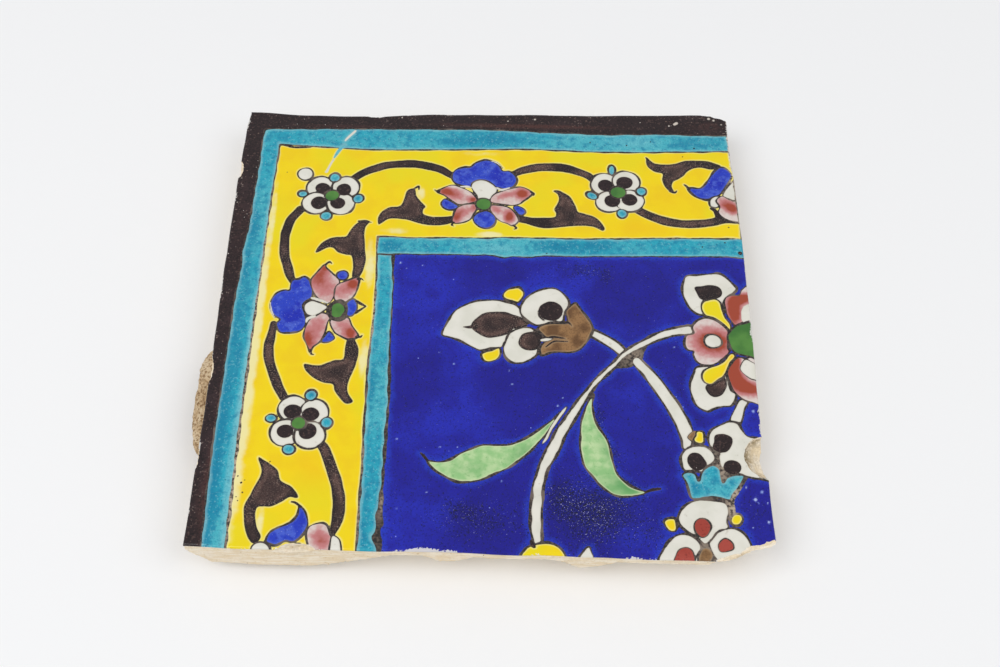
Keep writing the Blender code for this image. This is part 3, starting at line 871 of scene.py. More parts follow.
blob("yellow", [
    (86.2, -85.7), (87.5, -84), (89.5, -84), (90.4, -86), (89, -88.1), (87, -88.1), (86.2, -87),
], line=1.1)
blob("white", [
    (77.8, -95.5), (79.5, -92.3), (83, -90), (87, -89.3), (90, -91), (92, -94.5), (92, -98), (87, -101),
    (82, -103), (79.5, -100),
], line=1.1)
blob("white", [
    (61, -103), (62, -98), (64.5, -94.5), (68, -92), (71.5, -92), (74.5, -94.5), (75.4, -97.5), (74, -99.5),
    (73, -103),
], line=1.2)
blob("white", [
    (74.5, -79), (78, -78.6), (82, -78.8), (85, -80), (85.7, -83.5), (85, -87), (85, -89.3), (81.5, -90.6),
    (79, -93.5), (76.5, -95.7), (74, -93), (71, -91.2), (68.5, -88.5), (68, -85.5), (69.2, -82.5),
    (71.5, -80.3),
], line=1.1)
blob("red", [
    (73.3, -88.5), (75, -86), (77.5, -86), (79.2, -88.7), (78, -91.7), (75.9, -93), (73.8, -91.3),
], line=0.8)
blob("red", [
    (66.3, -99.8), (67.8, -97.5), (70.3, -96.8), (72.3, -98.5), (72.5, -103), (66, -103),
], line=0.5)
blob("red", [(81, -95.5), (83.5, -93.3), (86, -94.7), (86.3, -97), (84, -98), (81.5, -98)], line=0.5)
blob("umber", [
    (74.1, -100.3), (75.4, -97.5), (77.4, -97), (79, -99.2), (77.6, -102), (74.4, -102),
], line=0.6)
blob("yellow", [
    (14, -103), (15.3, -98.6), (18, -96.8), (21, -96), (24, -96), (26.5, -97.2), (28.4, -99.6), (29, -103),
], line=1.1)
blob("white", [(32.5, -103), (34.8, -99.3), (36.8, -97.2), (37.8, -99), (38.6, -103)], line=0.8)
stroke("black", [(17.2, -95.5, 1.1), (18, -97.2, 1.4), (18.6, -97.6, 0.8)], line=0)

# between the petals the ground was left dry
for gap in (
    [(81.6, -59.5), (84.6, -60.6), (84.6, -64), (85.6, -67), (87, -69.5), (85.4, -72), (83.6, -68),
     (82, -64.5)],
    [(91.2, -68.4), (93, -69.6), (91, -73), (89, -76.5), (87.6, -79), (87.4, -83.6), (85.2, -84),
     (85, -79.6), (83.6, -77.6), (87, -76.5), (89.6, -72.6)],
    [(76.5, -95), (79.5, -96.5), (80.5, -101), (77, -101), (74.8, -99.5), (73.8, -95.6)],
    [(76.8, -56.5), (79, -57), (82, -59.6), (83, -61), (81, -61.4), (78.5, -59), (75.5, -57.4)],
    [(50.3, -20.6), (53.3, -18), (56.8, -16), (60.5, -15.1), (59.2, -17.8), (58.6, -20.6), (56, -22.6),
     (54.6, -24), (52.3, -24.4), (49, -24.4)],
):
    part = near(gap, 6)
    pools["cobalt"][part] = np.minimum(pools["cobalt"][part], -blob_depth(gap, part) - 0.45)

# dark grains that sank into the melt
for x, y, across in (
    (42.5, 85.3, 0.4), (21.8, 89.8, 0.35), (57.5, 84, 0.4), (67.5, 86.3, 0.35), (85.3, 83.2, 0.45),
    (24, 27.4, 0.4), (85, 32, 0.4), (94, 34.3, 0.4), (99.6, 29.3, 0.9), (-84.6, -72.5, 0.35),
    (-83.2, -75, 0.45), (-82.4, -78.8, 0.4), (-84.4, -80.6, 0.35), (-82, -74, 0.3), (-83.6, -82, 0.3),
    (80.3, 78.4, 0.35), (-74, -66.5, 0.3), (96.2, 42, 0.4), (58, -1, 0.4), (12, 62, 0.3), (-80.4, 66, 0.3),
):
    pools["vine"] = np.maximum(pools["vine"], across - np.hypot(FACE_X - x, FACE_Y - y))

# the glaze is rubbed off along the upper part of the right edge
RUBBED_FROM = 36
RUBBED_WIDTH = 0.45
still_on = HALF * (1 - U) - RUBBED_WIDTH - wobble(0.35, 4.4)
for colour in COLOURS:
    pools[colour] = np.where(FACE_Y > RUBBED_FROM, np.minimum(pools[colour], still_on), pools[colour])


# Shading inside the pools
# The pink petals are shaded from white through rose to rust; elsewhere the glaze lies thick in
# some places and thin in others, which makes it deeper or paler. One pale spot on the cobalt
# by the right edge is a painted highlight.

for x, y, across, up, amount, *turn in (
    # petals of the lotuses and of the half rosette
    (-57, 2, 12, 16, 0.16), (0, 52, 18, 10, 0.18), (-63.8, 14, 3.2, 5, 0.75, -20),
    (-61.5, 18.5, 2, 2.2, 0.6), (-60.5, 9, 3.6, 5, 0.42), (-50.2, 11, 2.8, 3, 1.0), (-54, 7.5, 3, 3, 0.35),
    (-65.3, -15, 2.8, 5, 0.85, 15), (-62, -9, 3.4, 4.5, 0.42), (-49.6, -11.8, 2.6, 3.2, 1.0),
    (-53, -8, 3, 3, 0.3), (-16.3, 57.6, 3.2, 2.2, 0.95, -20), (-12, 56, 3.4, 2.6, 0.5, -30),
    (-5.4, 53.7, 1.8, 1.4, 0.85), (14.6, 57.2, 2.7, 2.7, 1.15), (8, 56.3, 4, 1.6, 0.42, 20),
    (9.4, 45.3, 2.0, 2.9, 1.1), (4.2, 48.8, 2.4, 1.6, 0.42, -40), (-11.6, 44.6, 2.2, 3, 0.85),
    (-8.5, 47.5, 3, 2.4, 0.4), (-4.8, 49.6, 1.2, 1.6, 0.5), (-54.6, -95, 3.4, 3.6, 0.55),
    (-52.8, -97.6, 2.4, 2.4, 0.45), (96.2, 53.6, 3.0, 3.6, 0.75, 50), (99, 51.3, 2.6, 2.6, 0.8),
    (84.8, -12.5, 7.2, 6.2, 0.92), (85.5, -12.5, 4.6, 4.2, 0.35), (89, -13, 2.5, 5, 0.3),
    (94.8, 1.6, 2.6, 6, 1.5), (98.6, 7.4, 4.4, 2.2, 1.5, 20), (92.8, -27.5, 2.9, 6, 1.5, 10),
    (97.4, -32.6, 4.6, 2.6, 1.4, -20), (93.8, -21.2, 1.4, 2.4, 1.0, -20),
    # black stripes
    (16, 93.5, 40, 1.3, 0.9), (-97, 40, 3, 30, 0.3), (-96, -80, 3, 14, 0.4), (92, 95.5, 10, 3, 0.5),
    (-60, 91.5, 25, 1.2, 0.5),
    # outer turquoise band
    (-93, -55, 2.6, 44, 1.0), (-87.6, -72, 1.5, 30, -0.9), (-87.2, -20, 1.2, 20, -0.5),
    (-91.4, 15, 2.6, 34, 0.55), (4, 86, 15, 3.5, 0.8), (-14, 84, 8, 3, 0.5), (-89, -20, 2.4, 6, 0.4),
    (-91, -88, 2.6, 8, 0.4), (-90.5, 40, 2.6, 9, 0.5), (-85, 85, 4, 4, 0.4), (82, 86, 9, 4, 0.75),
    (95, 87, 4, 4, 0.4), (62, 86, 16, 4, -0.6), (32, 87, 8, 3, -0.3),
    # yellow band
    (-85.4, -20, 2.2, 60, -0.5), (-85.0, -58, 2.4, 34, -0.6), (-84.6, 0, 1.6, 32, -0.45),
    (-83.8, 42, 1.0, 20, -0.4), (-44.4, 20, 2.0, 11, -0.7), (-44, -23, 1.8, 9, -0.7), (2, 36, 5, 1.4, -0.9),
    (-35, 37, 7, 1.8, -0.4), (-26.2, 56, 1.8, 3.4, -0.6), (-75.2, -89, 1.3, 6, -0.7), (62, 41, 14, 4, 0.5),
    (-60, -30, 7, 14, 0.4), (74, 56, 12, 9, 0.35), (-60, -70, 8, 10, 0.5), (-2, 78, 10, 1.6, -0.3),
    # inner turquoise band
    (28, 30.6, 9, 3, 1.0), (44, 31.3, 8, 3, 0.8), (-37, 30, 4, 3, 1.0), (-22, 30, 6, 3, 0.4),
    (90, 31, 6, 3, 0.3), (-40.6, -33, 1.8, 9, 0.9), (-39.8, -5, 2, 8, 0.4), (-39.7, -80, 1.7, 10, 0.6),
    (-39.8, -95, 2, 6, 0.6), (6, 29.4, 10, 2.6, -0.6),
    # cobalt field
    (40, -84, 15, 13, 0.95), (27, -78, 5, 8, 0.4), (0, -88, 14, 8, 0.5), (38, 19.5, 9, 4, 0.55),
    (-8, -84, 8, 4, 0.3), (47, 16, 3, 4, 0.4), (60, -92, 5, 5, 0.35), (95, -80, 4, 8, 0.3),
    # pale leaves, and the turquoise calyx beside them
    (75, -74, 2.8, 3, 0.8), (42, -47, 2, 6, 0.6), (45.5, -60, 3.2, 6, 0.6, 20),
    (51.5, -74, 5, 2.4, 0.7, -30), (15, -61, 7, 3, 0.6, 35), (-3, -68, 8, 4, 0.35),
    (24, -50, 4, 2, 0.6, 40),
):
    spot(tone, x, y, across, up, amount, *turn)

# pale chips and burst bubbles in the black stripes
for x, y, across in (
    (79, 96.9, 0.9), (78, 96.2, 0.7), (75.7, 95.3, 0.6), (92.6, 99.7, 0.9), (94.6, 98.8, 0.8),
    (87.5, 96.3, 0.5), (93.2, 94.9, 0.5), (97.6, 96.6, 0.8), (19.8, 97.4, 0.6), (8.6, 96.2, 0.5),
    (-35.5, 97, 0.5), (63.8, 96.9, 0.4), (-98.4, 62.5, 0.5), (-98.8, 50, 0.5), (-97.5, 36, 0.4),
    (-96.8, 27.5, 0.4),
):
    spot(tone, x, y, across, across, -1.4)

# burst bubbles and small scars in the cobalt; the three round (95.5, -78) by the right edge are a painted
# highlight, a glint, and the wide one is its pale haze
for x, y, across in (
    (-30.2, -56.6, 0.5), (-28.8, -83.8, 0.45), (-18.8, -77.5, 0.5), (-14.7, -59.6, 0.45),
    (-8.5, -59.4, 0.4), (-16.3, -19.7, 0.45), (-10.8, -24.5, 0.5), (9.7, -27, 0.45), (10.8, -32.7, 0.5),
    (7.2, -72.7, 0.4), (8, -85, 0.5), (11.8, -86.2, 0.4), (27.2, -41.7, 0.5), (29, -38.3, 0.4),
    (39.3, -74, 0.5), (49.2, -90.3, 0.45), (71, -15.3, 0.5), (98, -42.5, 0.7), (95.4, -78.4, 0.9),
    (95.6, -77, 2.0), (96.4, -79.6, 0.5), (98, -75.2, 0.7), (99.2, -86.8, 0.8), (92.6, -73.6, 0.7),
    (99.6, -79.5, 0.6), (93.5, -89, 0.5), (-32.6, 21.5, 0.6), (-30, 19, 0.4), (-24, 20.4, 0.4),
    (33, 19, 0.5), (37.5, 17, 0.4), (41, 19.5, 0.45),
):
    spot(tone, x, y, across, across, -0.5 if across > 1.3 else -1.1)


# Glaze
# Glassy coloured glaze, a fraction of a millimetre thick, fused to the face in the kiln. The pools
# stand a hair above the dry dark lines between them, and roll over the edge of the tile.

DRY_LEVEL = 17.86           # height of the dry lines
POOL_RISE = 0.10            # how far a full pool stands above them
WAVER = 0.03
ROLL_DROP = 0.42            # how far the glaze sinks at the very edge
ROLL_REACH = 0.75           # how far in that begins
HEM = 17.1                  # all of the face lies above this height, and its skirt below it

pooled = np.max([pools[colour] for colour in COLOURS], axis=0)
fill = np.clip(pooled / 0.55 + 0.35, 0, 1)
rim = HALF * (1 - np.maximum(abs(U), abs(V)))
height = (
    DRY_LEVEL + POOL_RISE * fill * fill * (3 - 2 * fill) + WAVER * wobble(1, 5.1)
    - ROLL_DROP * np.clip(1 - rim / ROLL_REACH, 0, 1) ** 2.5
)

# the skin is made in two parts that meet along the line between the turquoise and the cobalt
SEAM_COLUMN = int(np.argmin(abs(LINES * HALF + 34.6)))
SEAM_ROW = int(np.argmin(abs(LINES * HALF - 26)))


def glaze_skin(name, keep):
    """A thin skin of glaze over the cells of the grid that are kept, closed below."""
    count = len(LINES) - 1
    bpy.ops.mesh.primitive_grid_add(x_subdivisions=count, y_subdivisions=count, size=2)
    skin = bpy.context.object
    skin.name = name
    place_vertices(skin, np.stack([FACE_X, FACE_Y, height], axis=-1) * MM)
    for key, field in {**pools, "tone": tone, "bare": bare, "rim": rim}.items():
        values = skin.data.attributes.new(key, "FLOAT", "POINT")
        values.data.foreach_set("value", np.clip(field, -FAR, FAR).astype(np.float32).ravel())
    edit(skin)
    bpy.ops.mesh.select_mode(type="FACE")
    bpy.ops.mesh.select_all(action="DESELECT")
    bpy.ops.object.mode_set(mode="OBJECT")
    skin.data.polygons.foreach_set("select", ~keep.ravel())
    bpy.ops.object.mode_set(mode="EDIT")
    bpy.ops.mesh.delete(type="FACE")
    bpy.ops.mesh.select_all(action="SELECT")
    bpy.ops.mesh.region_to_loop()
    bpy.ops.mesh.extrude_edges_move(TRANSFORM_OT_translate={"value": (0, 0, -MM)})
    bpy.ops.mesh.edge_face_add()
    bpy.ops.object.mode_set(mode="OBJECT")
    for vertex in skin.data.vertices:
        if vertex.co.z < HEM * MM:
            vertex.co.z = GLAZE_FOOT * MM
    edit(skin)
    bpy.ops.mesh.select_all(action="SELECT")
    bpy.ops.mesh.normals_make_consistent(inside=False)
    bpy.ops.object.mode_set(mode="OBJECT")
    return skin


cell_row, cell_column = np.indices((len(LINES) - 1, len(LINES) - 1))
in_field = (cell_row < SEAM_ROW) & (cell_column >= SEAM_COLUMN)
border_glaze = glaze_skin("border_glaze", ~in_field)
field_glaze = glaze_skin("field_glaze", in_field)


# Mortar
# A long lump of the sandy mortar that the tile was bedded in; it broke off the wall with the tile
# and still sticks to its left side.

MORTAR_Y = -38.5
MORTAR_Z = 10.6
MORTAR_RADII = (7.35, 22.3, 5.9)
MORTAR_STANDS_OUT = 5.3     # how far it reaches out past the edge of the face
bpy.ops.mesh.primitive_ico_sphere_add(subdivisions=6, radius=1)
mortar_lump = bpy.context.object
mortar_lump.name = "mortar_lump"
mortar_x = -(HALF + edge_offset("left", MORTAR_Y)) - MORTAR_STANDS_OUT + MORTAR_RADII[0]
mortar_middle = Vector((mortar_x, MORTAR_Y, MORTAR_Z))
lump_points = []
for vertex in mortar_lump.data.vertices:
    blunt = Vector([math.copysign(abs(c) ** 0.6, c) for c in vertex.co])
    place = Vector([c * r for c, r in zip(blunt, MORTAR_RADII)])
    rough = 0.5 * noise.noise(place / 4.5) + 0.40 * noise.noise(place / 1.6)
    rough += 0.28 * noise.noise(place / 0.6)
    spread = place + vertex.co * (rough - 0.5)
    lump_points.append(((spread + mortar_middle) * MM)[:])
place_vertices(mortar_lump, lump_points)
lime_mortar = clay_shader("lime_mortar", "DCC6A4", "CCB08A", "947450", 1.3, 0.46)
mortar_lump.data.materials.append(lime_mortar)


# Chips and broken corners
# Where the tile was knocked as it was prised off the wall, flakes of glaze and clay came away and
# two corners broke; the breaks are rough and pale.

# side, place along it, length, reach inwards, depth, turn in degrees
CHIPS = {
    "right_flake": ("right", -61.5, 17.5, 7.6, 5.0, -14),
    "front_chip": ("front", -62, 13, 2.2, 3.0, 0),
    "left_chip_high": ("left", 67, 9, 1.5, 2.4, 0),
    "left_chip_middle": ("left", -29, 11, 1.1, 2.0, 0),
    "left_chip_low": ("left", -65.5, 9, 0.7, 1.6, 0),
    "back_chip": ("back", -46.5, 9, 0.8, 1.4, 0),
}

# corner, length broken off along x and along y, tilt of the break in degrees
CORNER_BREAKS = {
    "front_right_break": ((1, -1), 21.5, 8.0, 54),
    "front_right_undercut": ((1, -1), 16.5, 5.9, -33),
    "back_right_break": ((1, 1), 10.5, 3.0, 26),
}
BLOCK_SIZE = 48
BLOCK_CUTS = 84


def chip(name, seed):
    """A rough scoop, to be cut out where a flake came off the edge."""
    side, middle, length, reach, depth, turn = CHIPS[name]
    nx, ny = SIDES[side]
    outside = reach * 0.25
    across = reach + outside
    radii = (length / 2 / math.sqrt(1 - (outside / across) ** 2), across, depth)
    bpy.ops.mesh.primitive_ico_sphere_add(subdivisions=5, radius=1)
    scoop = bpy.context.object
    scoop.name = name
    edge = Vector((nx, ny)) * (HALF + edge_offset(side, middle) + outside)
    centre = Vector((edge.x + abs(ny) * middle, edge.y + abs(nx) * middle, THICKNESS))
    turned = Matrix.Rotation(math.atan2(ny, nx) + math.pi / 2 + math.radians(turn), 3, "Z")
    points = []
    for vertex in scoop.data.vertices:
        swell = 1 + 0.09 * noise.noise(vertex.co * 2.3 + Vector((seed, 0, seed)))
        place = centre + turned @ Vector([c * r * swell for c, r in zip(vertex.co, radii)])
        place += 0.25 * noise.noise_vector(place / 1.1)
        points.append((place * MM)[:])
    place_vertices(scoop, points)
    return scoop


def corner_break(name, seed):
    """A block whose rough face, tilted up by so many degrees, takes a piece off a corner."""
    (sx, sy), run_x, run_y, tilt = CORNER_BREAKS[name]
    corner_x = HALF + edge_offset("right" if sx > 0 else "left", sy * HALF)
    corner_y = HALF + edge_offset("back" if sy > 0 else "front", sx * HALF)
    along_x = Vector((sx * (corner_x - run_x), sy * corner_y, THICKNESS))
    along_y = Vector((sx * corner_x, sy * (corner_y - run_y), THICKNESS))
    outward = Vector((sx * run_y, sy * run_x, 0)).normalized()
    away = outward * math.cos(math.radians(tilt)) + Vector((0, 0, math.sin(math.radians(tilt))))
    bpy.ops.mesh.primitive_cube_add(size=BLOCK_SIZE)
    block = bpy.context.object
    block.name = name
    edit(block)
    bpy.ops.mesh.select_all(action="SELECT")
    bpy.ops.mesh.subdivide(number_cuts=BLOCK_CUTS)
    bpy.ops.object.mode_set(mode="OBJECT")
    middle = (along_x + along_y) / 2 + away * BLOCK_SIZE / 2
    turn = away.to_track_quat("Z", "Y").to_matrix()
    points = []
    for vertex in block.data.vertices:
        place = middle + turn @ vertex.co
        shift = 0.8 * noise.noise(place / 4.5 + Vector((seed, seed, 0))) + 0.35 * noise.noise(place / 1.4)
        points.append(((place + away * shift) * MM)[:])
    place_vertices(block, points)
    return block


# a fixed seed, so that the chips come out the same each run
noise.seed_set(1)
cutters = [chip(name, i * 1.7) for i, name in enumerate(CHIPS)]
cutters += [corner_break(name, 3.1) for name in ("front_right_break", "back_right_break")]
undercut = corner_break("front_right_undercut", 6.2)
for cutter in cutters + [undercut]:
    cutter.data.materials.append(fired_clay)
bpy.ops.object.select_all(action="DESELECT")
for cutter in cutters:
    cutter.select_set(True)
bpy.context.view_layer.objects.active = cutters[0]
bpy.ops.object.join()
knocks = bpy.context.object
for piece, tool in (
    (clay_body, knocks), (border_glaze, knocks), (field_glaze, knocks), (clay_body, undercut),
):
    choose(piece)
    cut = piece.modifiers.new("knocks", "BOOLEAN")
    cut.operation = "DIFFERENCE"
    cut.solver = "EXACT"
    cut.material_mode = "TRANSFER"
    cut.object = tool
    bpy.ops.object.modifier_apply(modifier=cut.name)
for tool in (knocks, undercut):
    bpy.data.objects.remove(tool, do_unlink=True)

# dust and sand that rubbed into the breaks, down to this height
DUST_FOOT = 11.5
at = np.array([vertex.co for vertex in clay_body.data.vertices]) / MM
dirt = np.zeros(len(at))
for x, y, across, up, amount in (
    (93.4, -62, 2.2, 9, 1.0), (96.5, -69, 4, 2.4, 0.9), (96, -54, 4, 2.0, 0.9), (97.5, -61, 3, 4, 0.3),
    (98.3, 37, 1.4, 1.4, 1.0), (88, -99.5, 5, 1.0, 0.3), (-62, -98.5, 5, 1.4, 0.35),
    (99.8, 70, 0.9, 24, 0.5), (-100, 74, 1.2, 7, 0.4),
):
    dirt += amount * np.exp(-((at[:, 0] - x) / across) ** 2 - ((at[:, 1] - y) / up) ** 2)
dirt *= np.clip((at[:, 2] - DUST_FOOT) / 2, 0, 1)
dust = clay_body.data.attributes.new("dust", "FLOAT", "POINT")
dust.data.foreach_set("value", dirt.astype(np.float32))


# Colours of the glaze
# Each pool is a glass tinted in the melt: deeper where it lies thick, paler where it thins out
# towards the dark line, and pricked with small dark specks and burst bubbles.

glaze = Shader("painted_glaze")
grain = glaze.noise(0.9, 3)
cloud = glaze.noise(9, 3)
drift = glaze.noise(26, 2)
speck = glaze.dots(2.1, 0.20)
pinhole = glaze.dots(7.5, 0.26, 3.0)
depth = glaze.attribute("tone")
from_edge = glaze.attribute("rim")
inside = {colour: glaze.attribute(colour) for colour in COLOURS}


def pale_edge(colour, reach, strength):
    """A mask that is strongest at the outline of a pool and fades out further in."""
    uneven = glaze.sum("MULTIPLY_ADD", cloud, 1.6 * reach, inside[colour])
    return glaze.steps(uneven, 0.8 * reach, 1.9 * reach, strength, 0.0)


dry = glaze.coats(
    "231E1D",
    (glaze.steps(grain, 0.42, 0.66), "574A42"),
    (glaze.steps(cloud, 0.50, 0.66, 0.0, 0.7), "7A6C60"),
    (glaze.both(glaze.attribute("bare"), glaze.clouds(1.1, 5, 0.40, 0.58)), "B8A692"),
)

paints = {}
paints["black"] = glaze.coats(
    "26181A",
    (glaze.steps(cloud, 0.45, 0.75), "342426"),
    (glaze.steps(depth, 0.1, 0.9), "4A2C28"),
    (glaze.clouds(0.7, 4, 0.50, 0.66, 0.7), "080506"),
    (glaze.clouds(0.8, 4, 0.56, 0.68, 0.55), "5C4640"),
    (glaze.both(glaze.dots(3.6, 0.34, 1.0), glaze.steps(cloud, 0.42, 0.5)), "6A564C"),
    (glaze.steps(depth, -1.1, -0.5, 0.95, 0.0), "D2C8BC"),
    (pinhole, "C8C0B8"),
    (glaze.both(glaze.dots(2.4, 0.17, 7.0), glaze.clouds(14, 1, 0.52, 0.60)), "C8C0B8"),
)

mottled = glaze.sum("MULTIPLY_ADD", depth, 0.08, glaze.noise(2.6, 5))
paints["turquoise"] = glaze.coats(
    "26A4BA",
    (glaze.steps(drift, 0.40, 0.62), "48B2C0"),
    (glaze.steps(depth, 0.0, 1.0), "0C88A6"),
    (glaze.steps(depth, -0.8, 0.0, 0.8, 0.0), "68BCC8"),
    (glaze.steps(mottled, 0.42, 0.68, 0.0, 0.75), "067FA2"),
    (glaze.clouds(0.6, 3, 0.52, 0.68, 0.45), "0C6E8A"),
    (glaze.clouds(0.8, 3, 0.56, 0.70, 0.4), "86CCD2"),
    (pale_edge("turquoise", 1.2, 0.4), "9CCFD0"),
    (speck, "0C5870"),
)

thin = glaze.sum("MULTIPLY_ADD", glaze.noise(5, 4), 1.4, glaze.sum("ADD", depth, -0.7))
thin = glaze.steps(thin, -0.75, 0.0, 0.9, 0.0)
paints["yellow"] = glaze.coats(
    "F3D400",
    (glaze.steps(cloud, 0.40, 0.64), "F0CC04"),
    (glaze.steps(drift, 0.48, 0.66), "EAD60C"),
    (glaze.steps(depth, 0.0, 1.0), "F3C200"),
    (pale_edge("yellow", 0.7, 0.75), "F0E48C"),
    (glaze.both(thin, glaze.steps(depth, -0.35, -0.05, 1.0, 0.0)), "F0E6A8"),
)

scorched = glaze.sum("MULTIPLY_ADD", depth, 0.13, glaze.noise(0.55, 4))
frost = glaze.sum("MULTIPLY_ADD", depth, 0.13, glaze.noise(0.42, 2))
# paler where the tone is below 0: burst bubbles and scars, and by the right edge a painted highlight with
# its haze
scars_and_glint = glaze.steps(depth, -0.6, -0.1, 1.0, 0.0)
paints["cobalt"] = glaze.coats(
    "1B24AE",
    (glaze.steps(drift, 0.38, 0.60), "130F8A"),
    (glaze.steps(cloud, 0.42, 0.66, 0.0, 0.8), "161494"),
    (pale_edge("cobalt", 2.2, 0.65), "1C3AC0"),
    (glaze.steps(depth, 0.1, 1.0, 0.0, 0.85), "08065C"),
    (glaze.steps(grain, 0.52, 0.68, 0.0, 0.5), "0A0768"),
    (glaze.steps(scorched, 0.58, 0.70, 0.0, 0.85), "05041E"),
    (glaze.steps(frost, 0.74, 0.79, 0.0, 0.8), "A8A8D8"),
    (glaze.steps(depth, -1.0, -0.5, 0.9, 0.0), "B4C2F0"),
    (glaze.both(scars_and_glint, glaze.clouds(0.8, 3, 0.45, 0.62, 0.5)), "7C92DC"),
    (pinhole, "8090E8"),
)

paints["white"] = glaze.coats(
    "E4E1D6",
    (glaze.steps(cloud, 0.40, 0.66), "DAD8CB"),
    (pale_edge("white", 0.5, 0.5), "CFC8B8"),
    (glaze.clouds(2.2, 4, 0.62, 0.74, 0.5), "BDB6A8"),
)

rose = glaze.sum("MULTIPLY_ADD", glaze.noise(1.8, 4), 0.5, glaze.sum("ADD", depth, -0.25))
paints["pink"] = glaze.coats(
    "DCCFC8",
    (glaze.steps(rose, 0.0, 0.5), "C27C7C"),
    (glaze.steps(rose, 0.45, 0.95), "A0442E"),
)

paints["blue"] = glaze.coats(
    "1628B0",
    (glaze.steps(cloud, 0.35, 0.65), "2540C0"),
    (pale_edge("blue", 0.9, 0.55), "4C64CC"),
    (glaze.clouds(3.2, 5, 0.46, 0.66, 0.75), "4C66D0"),
    (glaze.clouds(0.6, 2, 0.66, 0.72, 0.6), "A8B4E8"),
    (glaze.steps(grain, 0.50, 0.70, 0.0, 0.4), "0E1A88"),
)

paints["green"] = glaze.coats("3C7030", (glaze.steps(cloud, 0.35, 0.65), "54883C"))

paints["leaf"] = glaze.coats(
    "94C482",
    (glaze.clouds(3.5, 3, 0.34, 0.68), "BCD8A0"),
    (glaze.steps(depth, 0.0, 1.0), "62A060"),
    (glaze.clouds(1.1, 4, 0.56, 0.76, 0.45), "5E9C58"),
    (pale_edge("leaf", 0.6, 0.7), "D2DAAE"),
)

paints["vine"] = glaze.coats(
    "22181A",
    (glaze.both(glaze.steps(inside["vine"], 0.25, 1.2), glaze.steps(cloud, 0.38, 0.58)), "5A423C"),
    (glaze.clouds(0.5, 3, 0.52, 0.66, 0.75), "8A7468"),
    (glaze.steps(inside["vine"], 1.5, 3.0, 0.0, 0.6), "2A1C1D"),
    (glaze.steps(glaze.noise(0.5, 3, (1, 1, 2)), 0.56, 0.66, 0.0, 0.8), "120B0D"),
    (glaze.steps(drift, 0.53, 0.60, 0.0, 0.7), "1A1013"),
    (glaze.dots(4.6, 0.16, 2.0), "A89C94"),
)

paints["red"] = glaze.coats(
    "A8463A",
    (glaze.steps(cloud, 0.4, 0.65), "9E3C30"),
    (glaze.clouds(0.7, 3, 0.54, 0.7, 0.6), "6E241C"),
)

paints["umber"] = glaze.coats(
    "6A4A2C",
    (glaze.clouds(6, 3, 0.38, 0.62), "967048"),
    (glaze.clouds(0.6, 3, 0.50, 0.68, 0.5), "4E361E"),
    (pale_edge("umber", 0.8, 0.6), "A88A66"),
)

# every pool over the dry lines, with an outline that wanders a little
colour = dry
wander = glaze.sum("MULTIPLY_ADD", glaze.noise(0.7, 2), 0.16, -0.08)
for key in COLOURS:
    edge = glaze.sum("ADD", inside[key], wander)
    colour = glaze.mix(glaze.steps(edge, -0.10, 0.10), colour, paints[key])

# the very edge of the glaze is chalky in places, and its pale flecks are also painted highlights where the
# rolled edge catches the light
chalk_and_glints = glaze.sum("MULTIPLY_ADD", glaze.noise(0.7, 2), -2.0, from_edge)
chalk_and_glints = glaze.sum("MULTIPLY_ADD", glaze.noise(12, 2), -5.0, chalk_and_glints)
colour = glaze.mix(glaze.steps(chalk_and_glints, -3.95, -3.75, 0.8, 0.0), colour, linear("E4E0DA"))

# painted highlights: pale flecks near the black edge, where grains and burst bubbles catch the light
grit_glints = glaze.sum("MULTIPLY_ADD", from_edge, -0.016, glaze.noise(0.8, 4))
grit_glints = glaze.sum("MULTIPLY_ADD", glaze.noise(9, 2), 0.25, grit_glints)
grit_glints = glaze.both(glaze.steps(grit_glints, 0.76, 0.84), glaze.steps(inside["black"], 0.0, 0.4, 0.0, 0.6))
colour = glaze.mix(grit_glints, colour, linear("A89C94"))

# the pools are glossy, and the dry lines between them matt
pool = inside[COLOURS[0]]
for key in COLOURS[1:]:
    pool = glaze.sum("MAXIMUM", pool, inside[key])
wet = glaze.steps(pool, -0.05, 0.25)
ripple = glaze.bump(glaze.noise(4.5, 2), 0.05)
ripple = glaze.bump(glaze.noise(0.5, 3), 0.012, ripple)
glaze.set(
    glaze.surface, Base_Color=colour, Roughness=glaze.steps(wet, 0, 1, 0.60, 0.20), Normal=ripple,
    IOR=1.5, Specular_IOR_Level=0.4,
)
for skin in (border_glaze, field_glaze):
    skin.data.materials[0] = glaze.material


# The finished pieces
# The clay, its glaze and the mortar are one fused tile: it lies flat on its back, all of it rides
# on the one body, and nothing moves.

for piece in (clay_body, border_glaze, field_glaze, mortar_lump):
    choose(piece)
    bpy.ops.object.shade_smooth_by_angle(angle=math.radians(40))
    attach(piece, "root")
    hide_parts("tile")

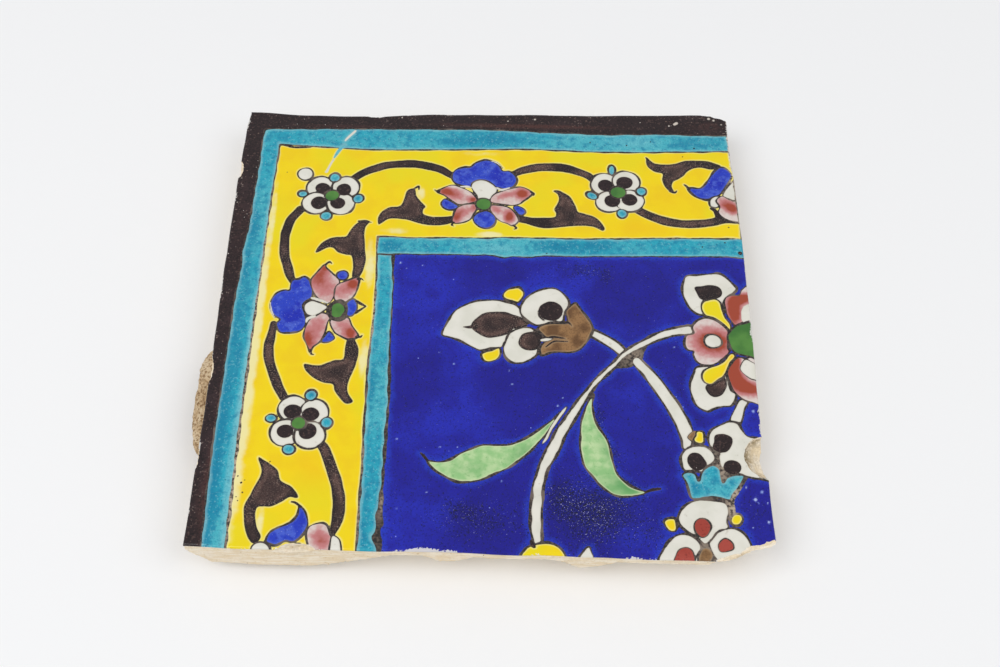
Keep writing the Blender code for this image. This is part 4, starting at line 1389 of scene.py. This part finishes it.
# a flat plan of the face, for its colours to be baked on
for skin in (border_glaze, field_glaze):
    plan = skin.data.uv_layers.new(name="OFBake")
    corners = np.zeros(len(skin.data.loops), np.int32)
    skin.data.loops.foreach_get("vertex_index", corners)
    points = np.zeros(len(skin.data.vertices) * 3, np.float32)
    skin.data.vertices.foreach_get("co", points)
    flat = points.reshape(-1, 3)[corners, :2]
    span = flat.max(0) - flat.min(0)
    plan.data.foreach_set("uv", ((flat - flat.min(0)) / span * 0.98 + 0.01).astype(np.float32).ravel())


# Table, light and camera
# A white table under two soft lights, seen as the photo shows the tile; none of it belongs to
# the tile.

TABLE_SIDE = 6              # this and the lamps' places and sizes are in metres
bpy.ops.mesh.primitive_plane_add(size=TABLE_SIDE)
table_top = bpy.context.object
table_top.name = "table_top"
paper = bpy.data.materials.new("paper")
paper.use_nodes = True
paper.node_tree.nodes["Principled BSDF"].inputs["Base Color"].default_value = linear("F4F4F4")
paper.node_tree.nodes["Principled BSDF"].inputs["Roughness"].default_value = 0.9
table_top.data.materials.append(paper)

world = bpy.data.worlds.new("studio")
bpy.context.scene.world = world
world.use_nodes = True
world.node_tree.nodes["Background"].inputs["Color"].default_value = (0.97, 0.98, 1, 1)
world.node_tree.nodes["Background"].inputs["Strength"].default_value = 0.60


def soft_box(name, place, size, power):
    """A square lamp that points at the tile."""
    bpy.ops.object.light_add(type="AREA", location=place)
    lamp = bpy.context.object
    lamp.name = name
    lamp.data.size = size
    lamp.data.energy = power
    lamp.rotation_mode = "QUATERNION"
    lamp.rotation_quaternion = (-Vector(place)).to_track_quat("-Z", "Y")


soft_box("key_light", (-0.9, -0.5, 1.5), size=1.2, power=12)
soft_box("fill_light", (1.0, -0.4, 1.4), size=1.2, power=6.5)

CAMERA_PLACE = (-0.631, -300.905, 430.166 + THICKNESS)      # from the middle of the tile's back
CAMERA_TURN = (33.997, -1.211, 0.466)                       # degrees about x, y and z
camera = bpy.data.objects.new("camera", bpy.data.cameras.new("camera"))
bpy.context.scene.collection.objects.link(camera)
camera.data.lens = 50
camera.data.sensor_width = 36
turn = Euler([math.radians(angle) for angle in CAMERA_TURN])
camera.matrix_world = Matrix.LocRotScale(Vector(CAMERA_PLACE) * MM, turn, None)
bpy.context.scene.camera = camera
bpy.context.scene.view_settings.view_transform = "Standard"
